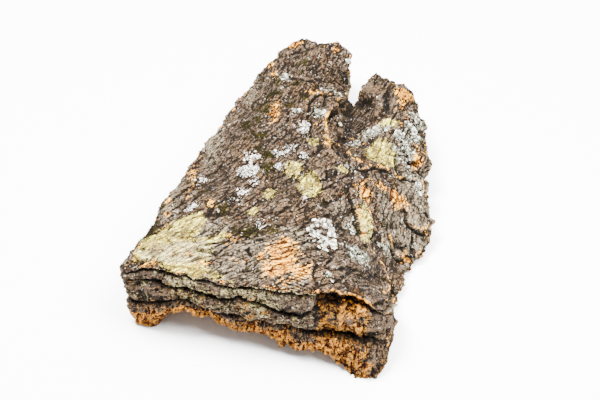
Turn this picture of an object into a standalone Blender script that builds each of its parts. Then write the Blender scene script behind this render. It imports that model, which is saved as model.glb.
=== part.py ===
"""A broken piece of old cork oak bark, lying on its inner face.

One grown piece, so one solid. It is a bowed slab with two lobes at its far end, a worn and
cracked outer face, torn edges that show the layers of cork, and a hollow inner face that
stands on three low flat feet.

X runs across the slab, Y along it from the thick near end to the lobed far end, Z up.
The origin is on the floor under the middle. Sizes below are millimetres.
"""

import bpy
import numpy as np

MM = 0.001

# Middle of the finished slab's box in the drawing below, which the origin is put under.
BOX_MIDDLE = (2.4, 18.7)

# Upper rim of the slab seen from above, as (x, y) points.
NEAR_RIM = [(-102, -133), (-103, -141), (-99, -148), (-76, -151), (-41, -150), (7, -152), (38, -151),
            (50, -147), (60, -142), (72, -139), (84, -137), (93, -132), (98, -124)]
FAR_RIM = [(-64, 168), (-61, 181), (-56, 193), (-46, 195), (-30, 189), (-18, 193), (-12, 195), (-3, 189),
           (3, 181), (5, 165), (6, 150), (10, 138), (17, 131), (22, 138), (23, 149), (31, 164), (37, 161),
           (44, 155), (52, 153), (60, 153), (68, 148), (75, 138), (78, 128)]
LEFT_RIM = [(-102, -133), (-103, -111), (-101, -79), (-99, -39), (-97, -10), (-94, 22), (-85, 62), (-82, 84),
            (-79, 117), (-73, 150), (-64, 168)]
RIGHT_RIM = [(98, -124), (98, -100), (97, -80), (98, -67), (100, -50), (105, -32), (111, -9), (111, 6),
             (105, 20), (100, 28), (98, 43), (93, 52), (98, 62), (94, 80), (90, 100), (78, 128)]

# Height of the outer face over the floor: each row is one station along, each column one across.
ACROSS = [0.0, 0.17, 0.33, 0.5, 0.67, 0.83, 1.0]
ALONG = [0.0, 0.15, 0.35, 0.55, 0.75, 0.9, 1.0]
FACE_HEIGHT = [
    [58, 69, 69, 71, 75, 72, 50],
    [52, 66, 71, 74, 75, 58, 20],
    [48, 62, 69, 72, 70, 48, 10],
    [45, 59, 65, 67, 62, 50, 24],
    [43, 55, 60, 58, 52, 50, 34],
    [42, 52, 55, 50, 46, 50, 38],
    [42, 50, 52, 48, 42, 46, 38],
]

# The fold between the lobes, from the notch inwards: (x, y) points, half width and depth.
FOLD = [(14, 152), (17, 133), (22, 116), (25, 85), (27, 50), (33, 16)]
FOLD_STEEP_WIDTH, FOLD_GENTLE_WIDTH = 9.0, 20.0
FOLD_WIDTH_AT_NOTCH = 6.0
FOLD_DEPTH_AT_NOTCH = 16.0
FOLD_DEPTH_INSIDE = 9.0

# Plates that have lifted or flaked. Walking along the points, the ground on the left is lower.
# Each has its points, its drop, and how far the step takes to die away on each side.
LEDGES = [
    ([(37, 3), (27, 14), (19, 29), (18, 44), (9, 67), (8, 88), (10, 109), (13, 133)], -7.0, 16.0),
    ([(40, 5), (39, 18), (38, 31), (32, 43), (33, 51), (41, 71), (43, 89), (52, 98)], 4.0, 12.0),
    ([(9, 117), (2, 116), (-7, 107), (-10, 100), (-12, 87), (-15, 75), (-20, 69)], 2.6, 10.0),
    ([(-15, 59), (1, 68), (7, 67), (11, 59)], 2.0, 9.0),
    ([(-40, 98), (-43, 91), (-48, 86)], 1.4, 6.0),
    ([(-42, 180), (-47, 177), (-51, 170), (-53, 163)], 2.0, 6.0),
    ([(-31, -5), (-36, -8), (-42, -7), (-48, -3)], 1.6, 6.0),
    ([(48, -28), (52, -36), (59, -51), (64, -59), (69, -64)], -3.4, 9.0),
    ([(57, -20), (66, -34), (74, -41), (79, -43)], 2.6, 8.0),
    ([(111, -3), (103, -9), (96, -9), (94, -3), (89, 2)], 3.2, 9.0),
    ([(103, -23), (98, -34), (93, -40), (89, -38), (85, -33), (80, -30)], 4.4, 8.0),
    ([(69, -64), (77, -65), (85, -60), (90, -64), (93, -70), (94, -87), (95, -112)], 4.2, 10.0),
    ([(21, -114), (31, -114), (38, -120), (44, -132), (49, -144)], 2.2, 8.0),
    ([(70, 62), (77, 64), (84, 59), (89, 57)], -2.6, 8.0),
    ([(100, 43), (87, 36), (73, 31), (60, 23), (51, 10), (41, 6)], 3.2, 10.0),
]
LEDGE_FACE = 1.7
CREVICE_SHARE = 0.7

# Furrows that follow the grain: depth, and how much of the face they take.
FURROW_DEPTH = 2.2
FURROW_DEPTH_ON_FLANK = 4.0
FURROW_SHARE = 0.16
FLANK_START, FLANK_END = 62.0, 88.0

# Share of the face, next to the rim, over which the relief turns from upright to square.
RIM_BAND = 0.05

# How far the torn outline strays from its smooth course.
RAGGED = 1.6

# Narrow splits: points, half width and depth.
SPLITS = [
    ([(-16, -114), (-12, -119), (-8, -122)], 1.6, 2.6),
    ([(46, 137), (49, 127), (53, 110), (56, 101)], 2.4, 3.6),
    ([(30, -20), (33, -23), (37, -24)], 1.6, 2.4),
    ([(104, 12), (109, 6)], 1.6, 2.6),
]

# Direction of the grain, degrees from X, at places (x, y) over the face.
GRAIN = [(-21, 159, 94), (-64, 74, 83), (-29, 10, 66), (-1, -28, 60), (24, -63, 48), (44, -24, 54),
         (-73, -46, 66), (-90, -97, 66), (-61, -137, 40), (-5, -136, 18), (42, -139, 30), (70, -104, 62),
         (74, -25, 116), (93, 10, 108), (69, 84, 88), (37, 89, 70), (92, -70, 112)]
GRAIN_REACH = 32.0

# Crusts of lichen thick enough to feel: centre, half length, half width, turn in degrees.
CRUSTS = [(-72, -113, 36, 23, 32), (-44, -136, 32, 11, 6), (2, 14, 10, 8, 60), (15, -6, 14, 8, 110),
          (62, 62, 15, 11, 20), (58, -36, 20, 5, 122)]
CRUST_THICKNESS = 1.2
CRUST_CALM = 0.65

# Layers of the torn edge. Heights over the floor along the near end, as (x, z) points.
LIP_THICKNESS = 3.0
NEAR_CRACK = [(-106, 50), (-80, 56), (-65, 53), (-50, 52), (-36, 49), (-19, 49), (-10, 56), (-2, 53),
              (18, 48), (29, 46), (38, 47), (50, 55), (62, 57), (84, 56), (99, 40)]
NEAR_INNER = [(-106, 27), (-96, 26), (-78, 32), (-67, 36), (-60, 41), (-50, 38), (-40, 34), (-22, 33),
              (18, 33), (36, 34), (43, 30), (77, 30), (99, 28)]
NEAR_FOOT = [(-106, 4), (-102, 0), (-92, 0), (-88, 2), (-82, 9), (-69, 22), (-59, 29), (-50, 27),
             (-49, 24), (-37, 25), (-24, 22), (-17, 17), (-2, 20), (6, 20), (17, 17), (22, 9), (25, 9),
             (28, 16), (31, 11), (51, 14), (62, 10), (70, 6), (77, 0), (99, 0)]
# Height of the lower rim round the other sides: (y, z) up the right and left, (x, z) across the far end.
RIGHT_FOOT = [(-124, 0), (-108, 4), (-90, 5), (-60, 3), (-20, 3), (10, 6), (45, 9), (80, 7), (128, 9)]
FAR_FOOT = [(-64, 8), (-50, 5), (-36, 0), (-20, 0), (-6, 5), (6, 12), (18, 12), (24, 12), (38, 9), (82, 9)]
LEFT_FOOT = [(-136, 4), (-100, 5), (0, 6), (90, 9), (168, 8)]
# Where the lower rim lies from the upper one, across and along, by the same places.
NEAR_REACH = [(-102, 3, 0), (-60, 0, 0), (20, 0, -1), (45, 0, -4), (55, 0, -9), (70, 2, -17), (84, 4, -23),
              (93, 6, -26), (98, 7, -25)]
RIGHT_REACH = [(-124, 7, -25), (-112, 5, -16), (-100, 2, -6), (-80, 0, 0), (128, -3, 0)]
FAR_REACH = [(-64, 2, -4), (78, -1, -3)]
LEFT_REACH = [(-133, 3, 0), (-100, 6, 0), (168, 3, 0)]

# Outward swell of each of the four layers along the near end, and depth of the three splits between
# them, as (x, mm) points. The other sides take the plain values, and lean in and out by up to SIDE_LEAN.
NEAR_SWELL = [
    [(-106, 1.0), (99, 1.0)],
    [(-106, 5.0), (-90, 3.0), (45, 2.5), (55, -6.0), (80, -7.0), (90, 0.0), (99, 2.0)],
    [(-106, 8.0), (-92, 3.0), (45, 2.0), (55, 4.0), (84, 5.0), (99, 2.0)],
    [(-106, 5.0), (-92, 2.5), (18, 2.0), (24, -1.0), (72, -1.0), (84, 2.0), (99, 3.0)],
]
NEAR_SPLIT = [
    [(-106, 1.0), (-98, 6.0), (44, 6.0), (52, 0.5), (99, 0.5)],
    [(-106, 2.0), (-80, 4.0), (46, 4.0), (54, 1.0), (99, 1.5)],
    [(-106, 2.0), (18, 1.5), (26, 7.0), (84, 9.0), (94, 3.0), (99, 1.5)],
]
SIDE_SWELL = [0.8, 2.2, 1.8, 1.2]
SIDE_SPLIT = [3.0, 3.6, 3.2]
SIDE_LAYER_SHARE = [0.08, 0.38, 0.68]
SIDE_LEAN = 3.0
CORNER_BLEND = 16.0

# Crumbled cork in the torn edge: size of its blocks, how far they stand out, and where the near end
# is broken away deepest.
BLOCK_ACROSS, BLOCK_UP = 7.0, 5.0
BLOCK_RELIEF = 0.9
BROKEN_RELIEF = 2.6
BROKEN_START, BROKEN_END = 46.0, 92.0

# Length of each side of the rim, and how far the outward directions are eased along it.
SIDE_RUN = (222.0, 275.0, 288.0, 307.0)
TURN_REACH = 6.6
TURN_EASE = 4.4

# The hollow inner face and the flats it stands on: (x, y, radius).
HOLLOW_HEIGHT = 25.0
FEET = [(-92, -141, 8), (92, -152, 9), (-30, 182, 8)]
FOOT_SLOPE = 16.0
FLAT_BELOW = 0.3

# Mesh density before the facets that show nothing are merged.
CELLS_ACROSS, CELLS_ALONG = 100, 150
LAYER_ROWS = [2, 7, 7, 7]
KEPT_SHARE = 0.133
SEED = 11


def smooth(t):
    t = np.clip(t, 0.0, 1.0)
    return t * t * (3.0 - 2.0 * t)


def read(table, at, column=1):
    """Value at a place, from a table of (place, value, ...) rows."""
    rows = np.array(table, float)
    return np.interp(at, rows[:, 0], rows[:, column])


def chance(i, j, seed, around=None):
    """A number from -1 to 1 for each whole place (i, j), which repeats after so many places if asked."""
    if around:
        i = i % around
    n = (i * 374761393 + j * 668265263 + (seed + SEED) * 974634777) & 0xFFFFFFFF
    n = ((n ^ (n >> 13)) * 1274126177) & 0xFFFFFFFF
    return ((n ^ (n >> 16)) & 0xFFFF) / 32767.5 - 1.0


def noise(x, y, seed, around=None):
    """Smooth noise from -1 to 1, with features one unit wide."""
    left, low = np.floor(x).astype(np.int64), np.floor(y).astype(np.int64)
    right_share, high_share = smooth(x - left), smooth(y - low)
    near, far = chance(left, low, seed, around), chance(left + 1, low, seed, around)
    below = near * (1 - right_share) + far * right_share
    near, far = chance(left, low + 1, seed, around), chance(left + 1, low + 1, seed, around)
    above = near * (1 - right_share) + far * right_share
    return below * (1 - high_share) + above * high_share


def rim_noise(run, across, size, seed):
    """Noise along the rim, with features of that size in mm, that meets itself where the rim closes."""
    count = round(sum(SIDE_RUN) / size)
    return noise(run / sum(SIDE_RUN) * count, across, seed, count)


def blocks(x, y, seed, around=None):
    """Level from -1 to 1 of the block round each point, and how far the point is from its border."""
    nearest, second = np.full(x.shape, 9.0), np.full(x.shape, 9.0)
    level = np.zeros(x.shape)
    left, low = np.floor(x).astype(np.int64), np.floor(y).astype(np.int64)
    for i in (-1, 0, 1):
        for j in (-1, 0, 1):
            across = left + i + 0.5 + 0.42 * chance(left + i, low + j, seed, around)
            up = low + j + 0.5 + 0.42 * chance(left + i, low + j, seed + 1, around)
            gap = np.hypot(x - across, y - up)
            closer = gap < nearest
            second = np.where(closer, nearest, np.minimum(second, gap))
            level = np.where(closer, chance(left + i, low + j, seed + 2, around), level)
            nearest = np.where(closer, gap, nearest)
    return level, second - nearest


def rim_blocks(run, height, across, up, seed):
    """The same along the rim, with blocks of that size in mm."""
    count = round(sum(SIDE_RUN) / across)
    return blocks(run / sum(SIDE_RUN) * count + 0.0 * height, height / up + 0.0 * run, seed, count)


def two_noises(x, y, seed):
    """A pair of unlike noises as a last axis, to push points about sideways."""
    return np.stack([noise(x, y, seed), noise(x + 40.5, y, seed)], -1)


def along_rim(rim, share):
    """Point (x, y) at a share of the way along a rim."""
    p = np.array(rim, float)
    run = np.concatenate([[0.0], np.cumsum(np.hypot(*np.diff(p, axis=0).T))])
    return np.stack([np.interp(share * run[-1], run, p[:, k]) for k in (0, 1)], -1)


def plan(u, v):
    """Place seen from above of the point u across and v along, each from 0 to 1."""
    near_left, near_right = np.array(NEAR_RIM[0], float), np.array(NEAR_RIM[-1], float)
    far_left, far_right = np.array(FAR_RIM[0], float), np.array(FAR_RIM[-1], float)
    a, b = u[..., None], v[..., None]
    near_chord, far_chord = (1 - a) * near_left + a * near_right, (1 - a) * far_left + a * far_right
    left_chord, right_chord = (1 - b) * near_left + b * far_left, (1 - b) * near_right + b * far_right
    place = ((1 - b) * near_chord + b * far_chord
             + (along_rim(NEAR_RIM, u) - near_chord) * (1 - b) ** 4
             + (along_rim(FAR_RIM, u) - far_chord) * b ** 4
             + (along_rim(LEFT_RIM, v) - left_chord) * (1 - a) ** 2
             + (along_rim(RIGHT_RIM, v) - right_chord) * a ** 2)
    return place + RAGGED * two_noises(place[..., 0] / 7, place[..., 1] / 7, 8)


def station_weights(stations, at):
    """Weight of each station at a place, for a smooth curve through them all."""
    places = np.array(stations)
    first = np.clip(np.searchsorted(places, at, side="right") - 1, 0, len(places) - 2)
    t = (at - places[first]) / (places[first + 1] - places[first])
    cubic = (-0.5 * t**3 + t**2 - 0.5 * t, 1.5 * t**3 - 2.5 * t**2 + 1,
             -1.5 * t**3 + 2 * t**2 + 0.5 * t, 0.5 * t**3 - 0.5 * t**2)
    weights = np.zeros(at.shape + (len(places),))
    for step, weight in zip((-1, 0, 1, 2), cubic):
        station = np.clip(first + step, 0, len(places) - 1)
        np.add.at(weights, (*np.indices(at.shape), station), weight)
    return weights


def face_height(u, v):
    """Height of the bowed face before its relief."""
    heights = np.array(FACE_HEIGHT, float)
    return np.einsum("...j,ji,...i->...", station_weights(ALONG, v), heights, station_weights(ACROSS, u))


def beside(line, x, y):
    """Distance from a line of points, plus on its left, and the share of the way along it."""
    p = np.array(line, float)
    nearest = np.full(x.shape, np.inf)
    side, share = np.ones(x.shape), np.zeros(x.shape)
    lengths = np.hypot(*np.diff(p, axis=0).T)
    for k, length in enumerate(lengths):
        step = p[k + 1] - p[k]
        t = np.clip(((x - p[k, 0]) * step[0] + (y - p[k, 1]) * step[1]) / length**2, 0, 1)
        gap = np.hypot(x - p[k, 0] - t * step[0], y - p[k, 1] - t * step[1])
        turn = step[0] * (y - p[k, 1]) - step[1] * (x - p[k, 0])
        closer = gap < nearest
        nearest = np.where(closer, gap, nearest)
        side = np.where(closer, np.where(turn < 0, -1.0, 1.0), side)
        share = np.where(closer, (lengths[:k].sum() + t * length) / lengths.sum(), share)
    return nearest * side, share


def grain_angle(x, y):
    """Direction of the grain in radians, eased between the places where it is known."""
    total_x, total_y = np.zeros(x.shape), np.zeros(x.shape)
    for gx, gy, degrees in GRAIN:
        weight = np.exp(-((x - gx) ** 2 + (y - gy) ** 2) / (2 * GRAIN_REACH**2)) + 1e-6
        total_x += weight * np.cos(np.radians(2 * degrees))
        total_y += weight * np.sin(np.radians(2 * degrees))
    return np.arctan2(total_y, total_x) / 2


def streaks(x, y, spacing, length, seed, samples=4):
    """Noise drawn out along the grain, from about -1 to 1."""
    total = noise(x / spacing, y / spacing, seed)
    for way in (-1, 1):
        at_x, at_y = x, y
        for _ in range(samples):
            angle = grain_angle(at_x, at_y)
            at_x = at_x + way * np.cos(angle) * length / (2 * samples)
            at_y = at_y + way * np.sin(angle) * length / (2 * samples)
            total = total + noise(at_x / spacing, at_y / spacing, seed)
    return total / np.sqrt(2.0 * samples + 1)


def steps(level, count):
    """A rising value turned into flat treads with steep risers."""
    whole = np.floor(level * count)
    return (whole + smooth((level * count - whole - 0.75) / 0.25)) / count


def shaken(x, y):
    """The place, moved a little, so that drawn lines wander."""
    return x + 2.4 * noise(x / 11, y / 11, 1), y + 2.4 * noise(x / 11, y / 11, 2)


def furrow_share(x, y):
    """1 in a furrow of the weathered face and 0 between them."""
    furrow = np.exp(-((streaks(x, y, 13.0, 55.0, 9) / FURROW_SHARE) ** 2))
    return furrow * smooth(0.6 + 0.8 * noise(x / 22, y / 22, 10))


def fold_share(x, y):
    """1 along the middle of the fold and 0 off it, and the share of the way from the notch inwards."""
    side, share = beside(FOLD, x, y)
    gentle = FOLD_WIDTH_AT_NOTCH + (FOLD_GENTLE_WIDTH - FOLD_WIDTH_AT_NOTCH) * smooth(share / 0.4)
    width = np.where(side < 0, FOLD_STEEP_WIDTH, gentle)
    return smooth((1 - share) / 0.15) * np.exp(-((side / width) ** 2)), share


def ledge_parts(line, drop, x, y):
    """Distance out from a ledge on its lower side, and its height there, which fades at both ends."""
    side, share = beside(line, x, y)
    return side * np.sign(drop), abs(drop) * smooth(share / 0.18) * smooth((1 - share) / 0.18)


def split_share(line, half_width, x, y):
    """1 in the middle of a narrow split and 0 off it."""
    side, share = beside(line, x, y)
    return smooth(share / 0.2) * smooth((1 - share) / 0.2) * np.exp(-((side / half_width) ** 2))


def relief(x, y):
    """Height of the outer face's plates, splits, ridges and crusts over its bowed form."""
    x, y = shaken(x, y)
    crust = np.maximum.reduce([crust_cover(crust, x, y) for crust in CRUSTS])
    height = 0.9 * noise(x / 13, y / 13, 7) + 0.6 * streaks(x, y, 7.0, 40.0, 4)
    height += 3.2 * (steps(0.5 + 0.4 * streaks(x, y, 15.0, 50.0, 5), 4) - 0.5)
    flank = smooth((x - FLANK_START) / (FLANK_END - FLANK_START))
    height -= (FURROW_DEPTH + (FURROW_DEPTH_ON_FLANK - FURROW_DEPTH) * flank) * furrow_share(x, y)
    height = 2.0 * noise(x / 34, y / 34, 3) + height * (1 - CRUST_CALM * crust) + CRUST_THICKNESS * crust
    fold, share = fold_share(x, y)
    height -= (FOLD_DEPTH_AT_NOTCH + (FOLD_DEPTH_INSIDE - FOLD_DEPTH_AT_NOTCH) * smooth(share)) * fold
    for line, drop, reach in LEDGES:
        lower, size = ledge_parts(line, drop, x, y)
        height -= 0.5 * size * np.tanh(lower / LEDGE_FACE) * np.exp(-np.abs(lower) / reach)
        height -= CREVICE_SHARE * size * np.exp(-(((lower - LEDGE_FACE) / LEDGE_FACE) ** 2))
    for line, half_width, depth in SPLITS:
        height -= depth * split_share(line, half_width, x, y)
    return height


def crust_cover(crust, x, y):
    """1 on a crust and 0 off it, with a ragged border."""
    centre_x, centre_y, half_length, half_width, turn = crust
    angle = np.radians(turn)
    along = ((x - centre_x) * np.cos(angle) + (y - centre_y) * np.sin(angle)) / half_length
    across = ((y - centre_y) * np.cos(angle) - (x - centre_x) * np.sin(angle)) / half_width
    return smooth((1.0 + 0.25 * noise(x / 8, y / 8, 6) - np.hypot(along, across)) / 0.18)


def outer_face(u, v):
    """Points of the weathered face, with the relief standing square to the bowed form."""
    place = plan(u, v)
    bowed = np.concatenate([place, face_height(u, v)[..., None]], -1)
    normal = np.cross(np.gradient(bowed, axis=1), np.gradient(bowed, axis=0))
    normal /= np.linalg.norm(normal, axis=-1, keepdims=True)
    rim_share = smooth(np.minimum.reduce([u, 1 - u, v, 1 - v]) / RIM_BAND)[..., None]
    normal = rim_share * normal + (1 - rim_share) * np.array([0.0, 0.0, 1.0])
    return bowed + normal * relief(place[..., 0], place[..., 1])[..., None]


def rim_order(across, along):
    """Grid positions round the edge, anticlockwise from the near left corner."""
    near = [(0, i) for i in range(across)]
    right = [(j, across) for j in range(along)]
    far = [(along, i) for i in range(across, 0, -1)]
    left = [(j, 0) for j in range(along, 0, -1)]
    return np.array(near + right + far + left)


def rim_run(across, along):
    """Distance round the rim in mm, by the usual length of each side."""
    starts = np.concatenate([[0.0], np.cumsum(SIDE_RUN)])
    counts = (across, along, across, along)
    return np.concatenate([start + length * np.arange(count) / count
                           for start, length, count in zip(starts, SIDE_RUN, counts)])


def rim_normals(rim):
    """Outward directions seen from above, eased over the sharp turns."""
    spacing = sum(SIDE_RUN) / len(rim)
    step = round(TURN_REACH / spacing)
    tangent = (np.roll(rim, -step, 0) - np.roll(rim, step, 0))[:, :2]
    normal = np.stack([tangent[:, 1], -tangent[:, 0]], -1)
    for _ in range(round(1.5 * (TURN_EASE / spacing) ** 2)):
        normal = normal / np.linalg.norm(normal, axis=1, keepdims=True)
        normal = normal + np.roll(normal, 1, 0) + np.roll(normal, -1, 0)
    return normal / np.linalg.norm(normal, axis=1, keepdims=True)


def side_values(sides, rim, near, right, far, left, column=1):
    """One value for each rim point, from the table of the side that it lies on."""
    tables = [(near, 0), (right, 1), (far, 0), (left, 1)]
    return np.choose(sides, [read(table, rim[:, axis], column) for table, axis in tables])


def layer_heights(rim, run, foot, nearness):
    """Heights of the borders between the layers, for every rim point, from the top down."""
    wall = rim[:, 2] - foot
    borders = [rim[:, 2]]
    near_tables = (None, NEAR_CRACK, NEAR_INNER)
    for k, (share, table) in enumerate(zip(SIDE_LAYER_SHARE, near_tables)):
        stray = 0.16 * rim_noise(run, 0.0 * run, 52.0, 20 + k)
        stray += 0.05 * rim_noise(run, 0.0 * run, 12.0, 24 + k)
        plain = rim[:, 2] - wall * (share + stray)
        near = rim[:, 2] - LIP_THICKNESS if table is None else read(table, rim[:, 0])
        border = nearness * near + (1 - nearness) * plain
        room = 0.12 * wall / len(SIDE_LAYER_SHARE)
        borders.append(np.clip(border, foot + room * (3 - k), borders[-1] - room))
    return np.stack(borders + [foot])


def layer_splits(rim, run, nearness):
    """Depth of the split at each border between layers, for every rim point."""
    splits = [np.zeros(len(rim))]
    for k in range(3):
        come_and_go = 0.1 + smooth(0.4 + 1.1 * rim_noise(run, 0.0 * run, 28.0, 30 + k))
        near = read(NEAR_SPLIT[k], rim[:, 0])
        splits.append(nearness * near + (1 - nearness) * SIDE_SPLIT[k] * come_and_go)
    return np.stack(splits + [np.zeros(len(rim))])


def near_end_share(rim):
    """1 along the near end, easing to 0 up the two sides."""
    return smooth((-118.0 - rim[:, 1]) / CORNER_BLEND)


def broken_share(rim):
    """1 where the near end is broken away deepest."""
    x = rim[:, 0]
    return near_end_share(rim) * smooth((x - BROKEN_START) / 8) * smooth((BROKEN_END - x) / 8)


def edge_courses():
    """Layer of each row of the torn edge, and how far down that layer the row lies, from 0 to 1."""
    layer = np.repeat(np.arange(len(LAYER_ROWS)), LAYER_ROWS)
    place = np.concatenate([np.arange(1, count + 1) / count for count in LAYER_ROWS])
    return layer, (1 - np.cos(np.pi * place[:, None])) / 2


def edge_form(rim, run, foot):
    """Height of each point of the torn edge, how far out it stands, and how deep in a split it lies."""
    nearness = near_end_share(rim)
    layer, t = edge_courses()
    borders = layer_heights(rim, run, foot, nearness)
    height = borders[layer] + (borders[layer + 1] - borders[layer]) * t
    near_swell = np.stack([read(table, rim[:, 0]) for table in NEAR_SWELL])
    swell = nearness * near_swell[layer] + (1 - nearness) * np.array(SIDE_SWELL)[layer][:, None]
    torn = [3.0 * rim_noise(run, 0.0 * run, 19.0, 40 + k) for k in range(4)]
    torn = np.stack([coarse + 1.2 * rim_noise(run, 0.0 * run, 6.0, 44 + k) for k, coarse in enumerate(torn)])
    out = (swell + torn[layer] * smooth((layer[:, None] + t) * 3)) * (1 - t) ** 0.5
    splits = layer_splits(rim, run, nearness)
    crack = splits[layer] * np.exp(-t / 0.08) + splits[layer + 1] * np.exp(-(1 - t) / 0.14)
    wall = rim[:, 2] - foot
    lean = SIDE_LEAN * rim_noise(run, 0.0 * run, 64.0, 48) * (1 - nearness)
    out = out - crack + lean * np.sin(np.pi * (rim[:, 2] - height) / wall)
    out = np.clip(out, -0.25 * wall, 0.25 * wall)
    out = out + 1.0 * rim_noise(run, height / 5, 5.0, 50)
    level, border = rim_blocks(run, height, BLOCK_ACROSS, BLOCK_UP, 52)
    rough = (BLOCK_RELIEF + (BROKEN_RELIEF - BLOCK_RELIEF) * broken_share(rim)) * (layer[:, None] > 0)
    return height, out + rough * (0.7 * level - np.exp(-((border / 0.16) ** 2))), crack


def edge_rows(rim, sides, run, form, fine=0.0):
    """The torn edge as rows of points, from under the upper rim down to the lower rim."""
    height, out, _ = form
    foot = height[-1]
    reaches = (NEAR_REACH, RIGHT_REACH, FAR_REACH, LEFT_REACH)
    reach = np.stack([side_values(sides, rim, *reaches, column) for column in (1, 2)], -1)
    down = smooth((rim[:, 2] - height) / (rim[:, 2] - foot))
    place = rim[:, :2] + rim_normals(rim) * (out + fine)[..., None] + reach * down[..., None]
    return np.concatenate([place, height[..., None]], -1)


def inner_face(u, v, upper, lower, order):
    """Points of the hollow inner face, whose border is the lower rim."""
    shift = np.zeros(u.shape + (2,))
    rise = HOLLOW_HEIGHT * np.sin(np.pi * u) ** 0.7 * np.ones(u.shape)
    gap = np.zeros(u.shape)
    edge_shift, edge_height = np.zeros(u.shape + (2,)), np.zeros(u.shape)
    edge_shift[order[:, 0], order[:, 1]] = (lower - upper)[:, :2]
    edge_height[order[:, 0], order[:, 1]] = lower[:, 2]
    ends = (1 - v) ** 8 + v**8
    for edge, fade in ((np.s_[:1, :], (1 - v) ** 8), (np.s_[-1:, :], v**8),
                       (np.s_[:, :1], (1 - u) ** 6 * (1 - ends)), (np.s_[:, -1:], u**6 * (1 - ends))):
        shift += edge_shift[edge] * fade[..., None]
        gap += (edge_height[edge] - rise[edge]) * fade
    place = plan(u, v) + shift
    x, y = place[..., 0], place[..., 1]
    height = rise + gap + 0.7 * noise(x / 6, y / 40, 60) * smooth(np.minimum(u, 1 - u) * 8)
    for foot_x, foot_y, radius in FEET:
        height *= smooth((np.hypot(x - foot_x, y - foot_y) - radius) / FOOT_SLOPE)
    face = np.concatenate([place, np.maximum(height, 0.0)[..., None]], -1)
    face[order[:, 0], order[:, 1]] = lower
    return face


def bark_mesh():
    """Vertices and faces of the closed slab: outer face, torn edge and inner face."""
    u, v = np.meshgrid(np.linspace(0, 1, CELLS_ACROSS + 1), np.linspace(0, 1, CELLS_ALONG + 1))
    order = rim_order(CELLS_ACROSS, CELLS_ALONG)
    sides = np.repeat([0, 1, 2, 3], [CELLS_ACROSS, CELLS_ALONG, CELLS_ACROSS, CELLS_ALONG])
    outer = outer_face(u, v)
    rim = outer[order[:, 0], order[:, 1]]
    run = rim_run(CELLS_ACROSS, CELLS_ALONG)
    foot = side_values(sides, rim, NEAR_FOOT, RIGHT_FOOT, FAR_FOOT, LEFT_FOOT)
    rows = edge_rows(rim, sides, run, edge_form(rim, run, foot))
    inner = inner_face(u, v, rim, rows[-1], order)

    grid = np.arange(u.size).reshape(u.shape)
    loops = [grid[order[:, 0], order[:, 1]]]
    for k in range(len(rows) - 1):
        loops.append(u.size + k * len(order) + np.arange(len(order)))
    inner_start = u.size + (len(rows) - 1) * len(order)
    inner_grid = inner_start + grid
    loops.append(inner_grid[order[:, 0], order[:, 1]])

    top = np.stack([grid[:-1, :-1], grid[:-1, 1:], grid[1:, 1:], grid[1:, :-1]], -1).reshape(-1, 4)
    under = (inner_start + top)[:, ::-1]
    edge = [np.stack([low, np.roll(low, -1), np.roll(high, -1), high], -1)
            for high, low in zip(loops[:-1], loops[1:])]
    points = np.concatenate([outer.reshape(-1, 3), *rows[:-1], inner.reshape(-1, 3)]) * MM
    points[:, :2] -= np.array(BOX_MIDDLE) * MM
    return points, np.concatenate([top, *edge, under])


def cork_material():
    """Grey-brown weathered cork."""
    material = bpy.data.materials.new("bark")
    material.use_nodes = True
    shader = material.node_tree.nodes["Principled BSDF"]
    shader.inputs["Base Color"].default_value = (0.19, 0.145, 0.11, 1)
    shader.inputs["Roughness"].default_value = 0.9
    shader.inputs["Metallic"].default_value = 0.0
    return material


def merged(bark):
    """Mesh of the object with the facets that show least merged, and its feet flat on the floor."""
    merge = bark.modifiers.new("merge flat facets", "DECIMATE")
    merge.ratio = KEPT_SHARE
    merge.use_collapse_triangulate = True
    mesh = bpy.data.meshes.new_from_object(bark.evaluated_get(bpy.context.evaluated_depsgraph_get()))
    bark.modifiers.remove(merge)
    for vertex in mesh.vertices:
        if vertex.co.z < FLAT_BELOW * MM:
            vertex.co.z = 0.0
    return mesh


def build():
    for old in list(bpy.data.objects):
        bpy.data.objects.remove(old)
    points, faces = bark_mesh()
    dense = bpy.data.meshes.new("dense bark")
    dense.from_pydata(points.tolist(), [], faces.tolist())
    bark = bpy.data.objects.new("bark", dense)
    bpy.context.scene.collection.objects.link(bark)
    bark.data = merged(bark)
    bark.data.name = "bark"
    bark.data.materials.append(cork_material())
    bark.data.shade_smooth()
    bpy.data.meshes.remove(dense)


build()
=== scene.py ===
"""Looks of the piece of bark: fine relief, weathering, bared cork, lichens and moss."""
import math

import bpy
import numpy as np
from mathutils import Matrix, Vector


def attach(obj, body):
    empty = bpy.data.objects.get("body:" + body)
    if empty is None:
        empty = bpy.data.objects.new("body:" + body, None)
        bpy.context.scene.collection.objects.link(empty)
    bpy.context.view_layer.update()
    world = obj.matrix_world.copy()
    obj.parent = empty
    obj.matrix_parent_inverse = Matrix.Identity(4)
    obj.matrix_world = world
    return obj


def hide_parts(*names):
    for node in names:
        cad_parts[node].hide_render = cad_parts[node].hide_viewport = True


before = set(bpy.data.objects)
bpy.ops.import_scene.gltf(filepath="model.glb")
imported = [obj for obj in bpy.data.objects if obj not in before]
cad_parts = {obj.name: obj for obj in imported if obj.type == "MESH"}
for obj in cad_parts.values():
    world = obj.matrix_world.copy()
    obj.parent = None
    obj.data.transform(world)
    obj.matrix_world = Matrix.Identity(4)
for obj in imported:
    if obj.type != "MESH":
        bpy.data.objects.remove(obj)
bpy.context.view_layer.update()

MM = 0.001

# The drawing below is in mm, and the scene in metres.
# Middle of the finished slab's box in the drawing, which the origin is put under.
BOX_MIDDLE = (2.4, 18.7)

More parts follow.
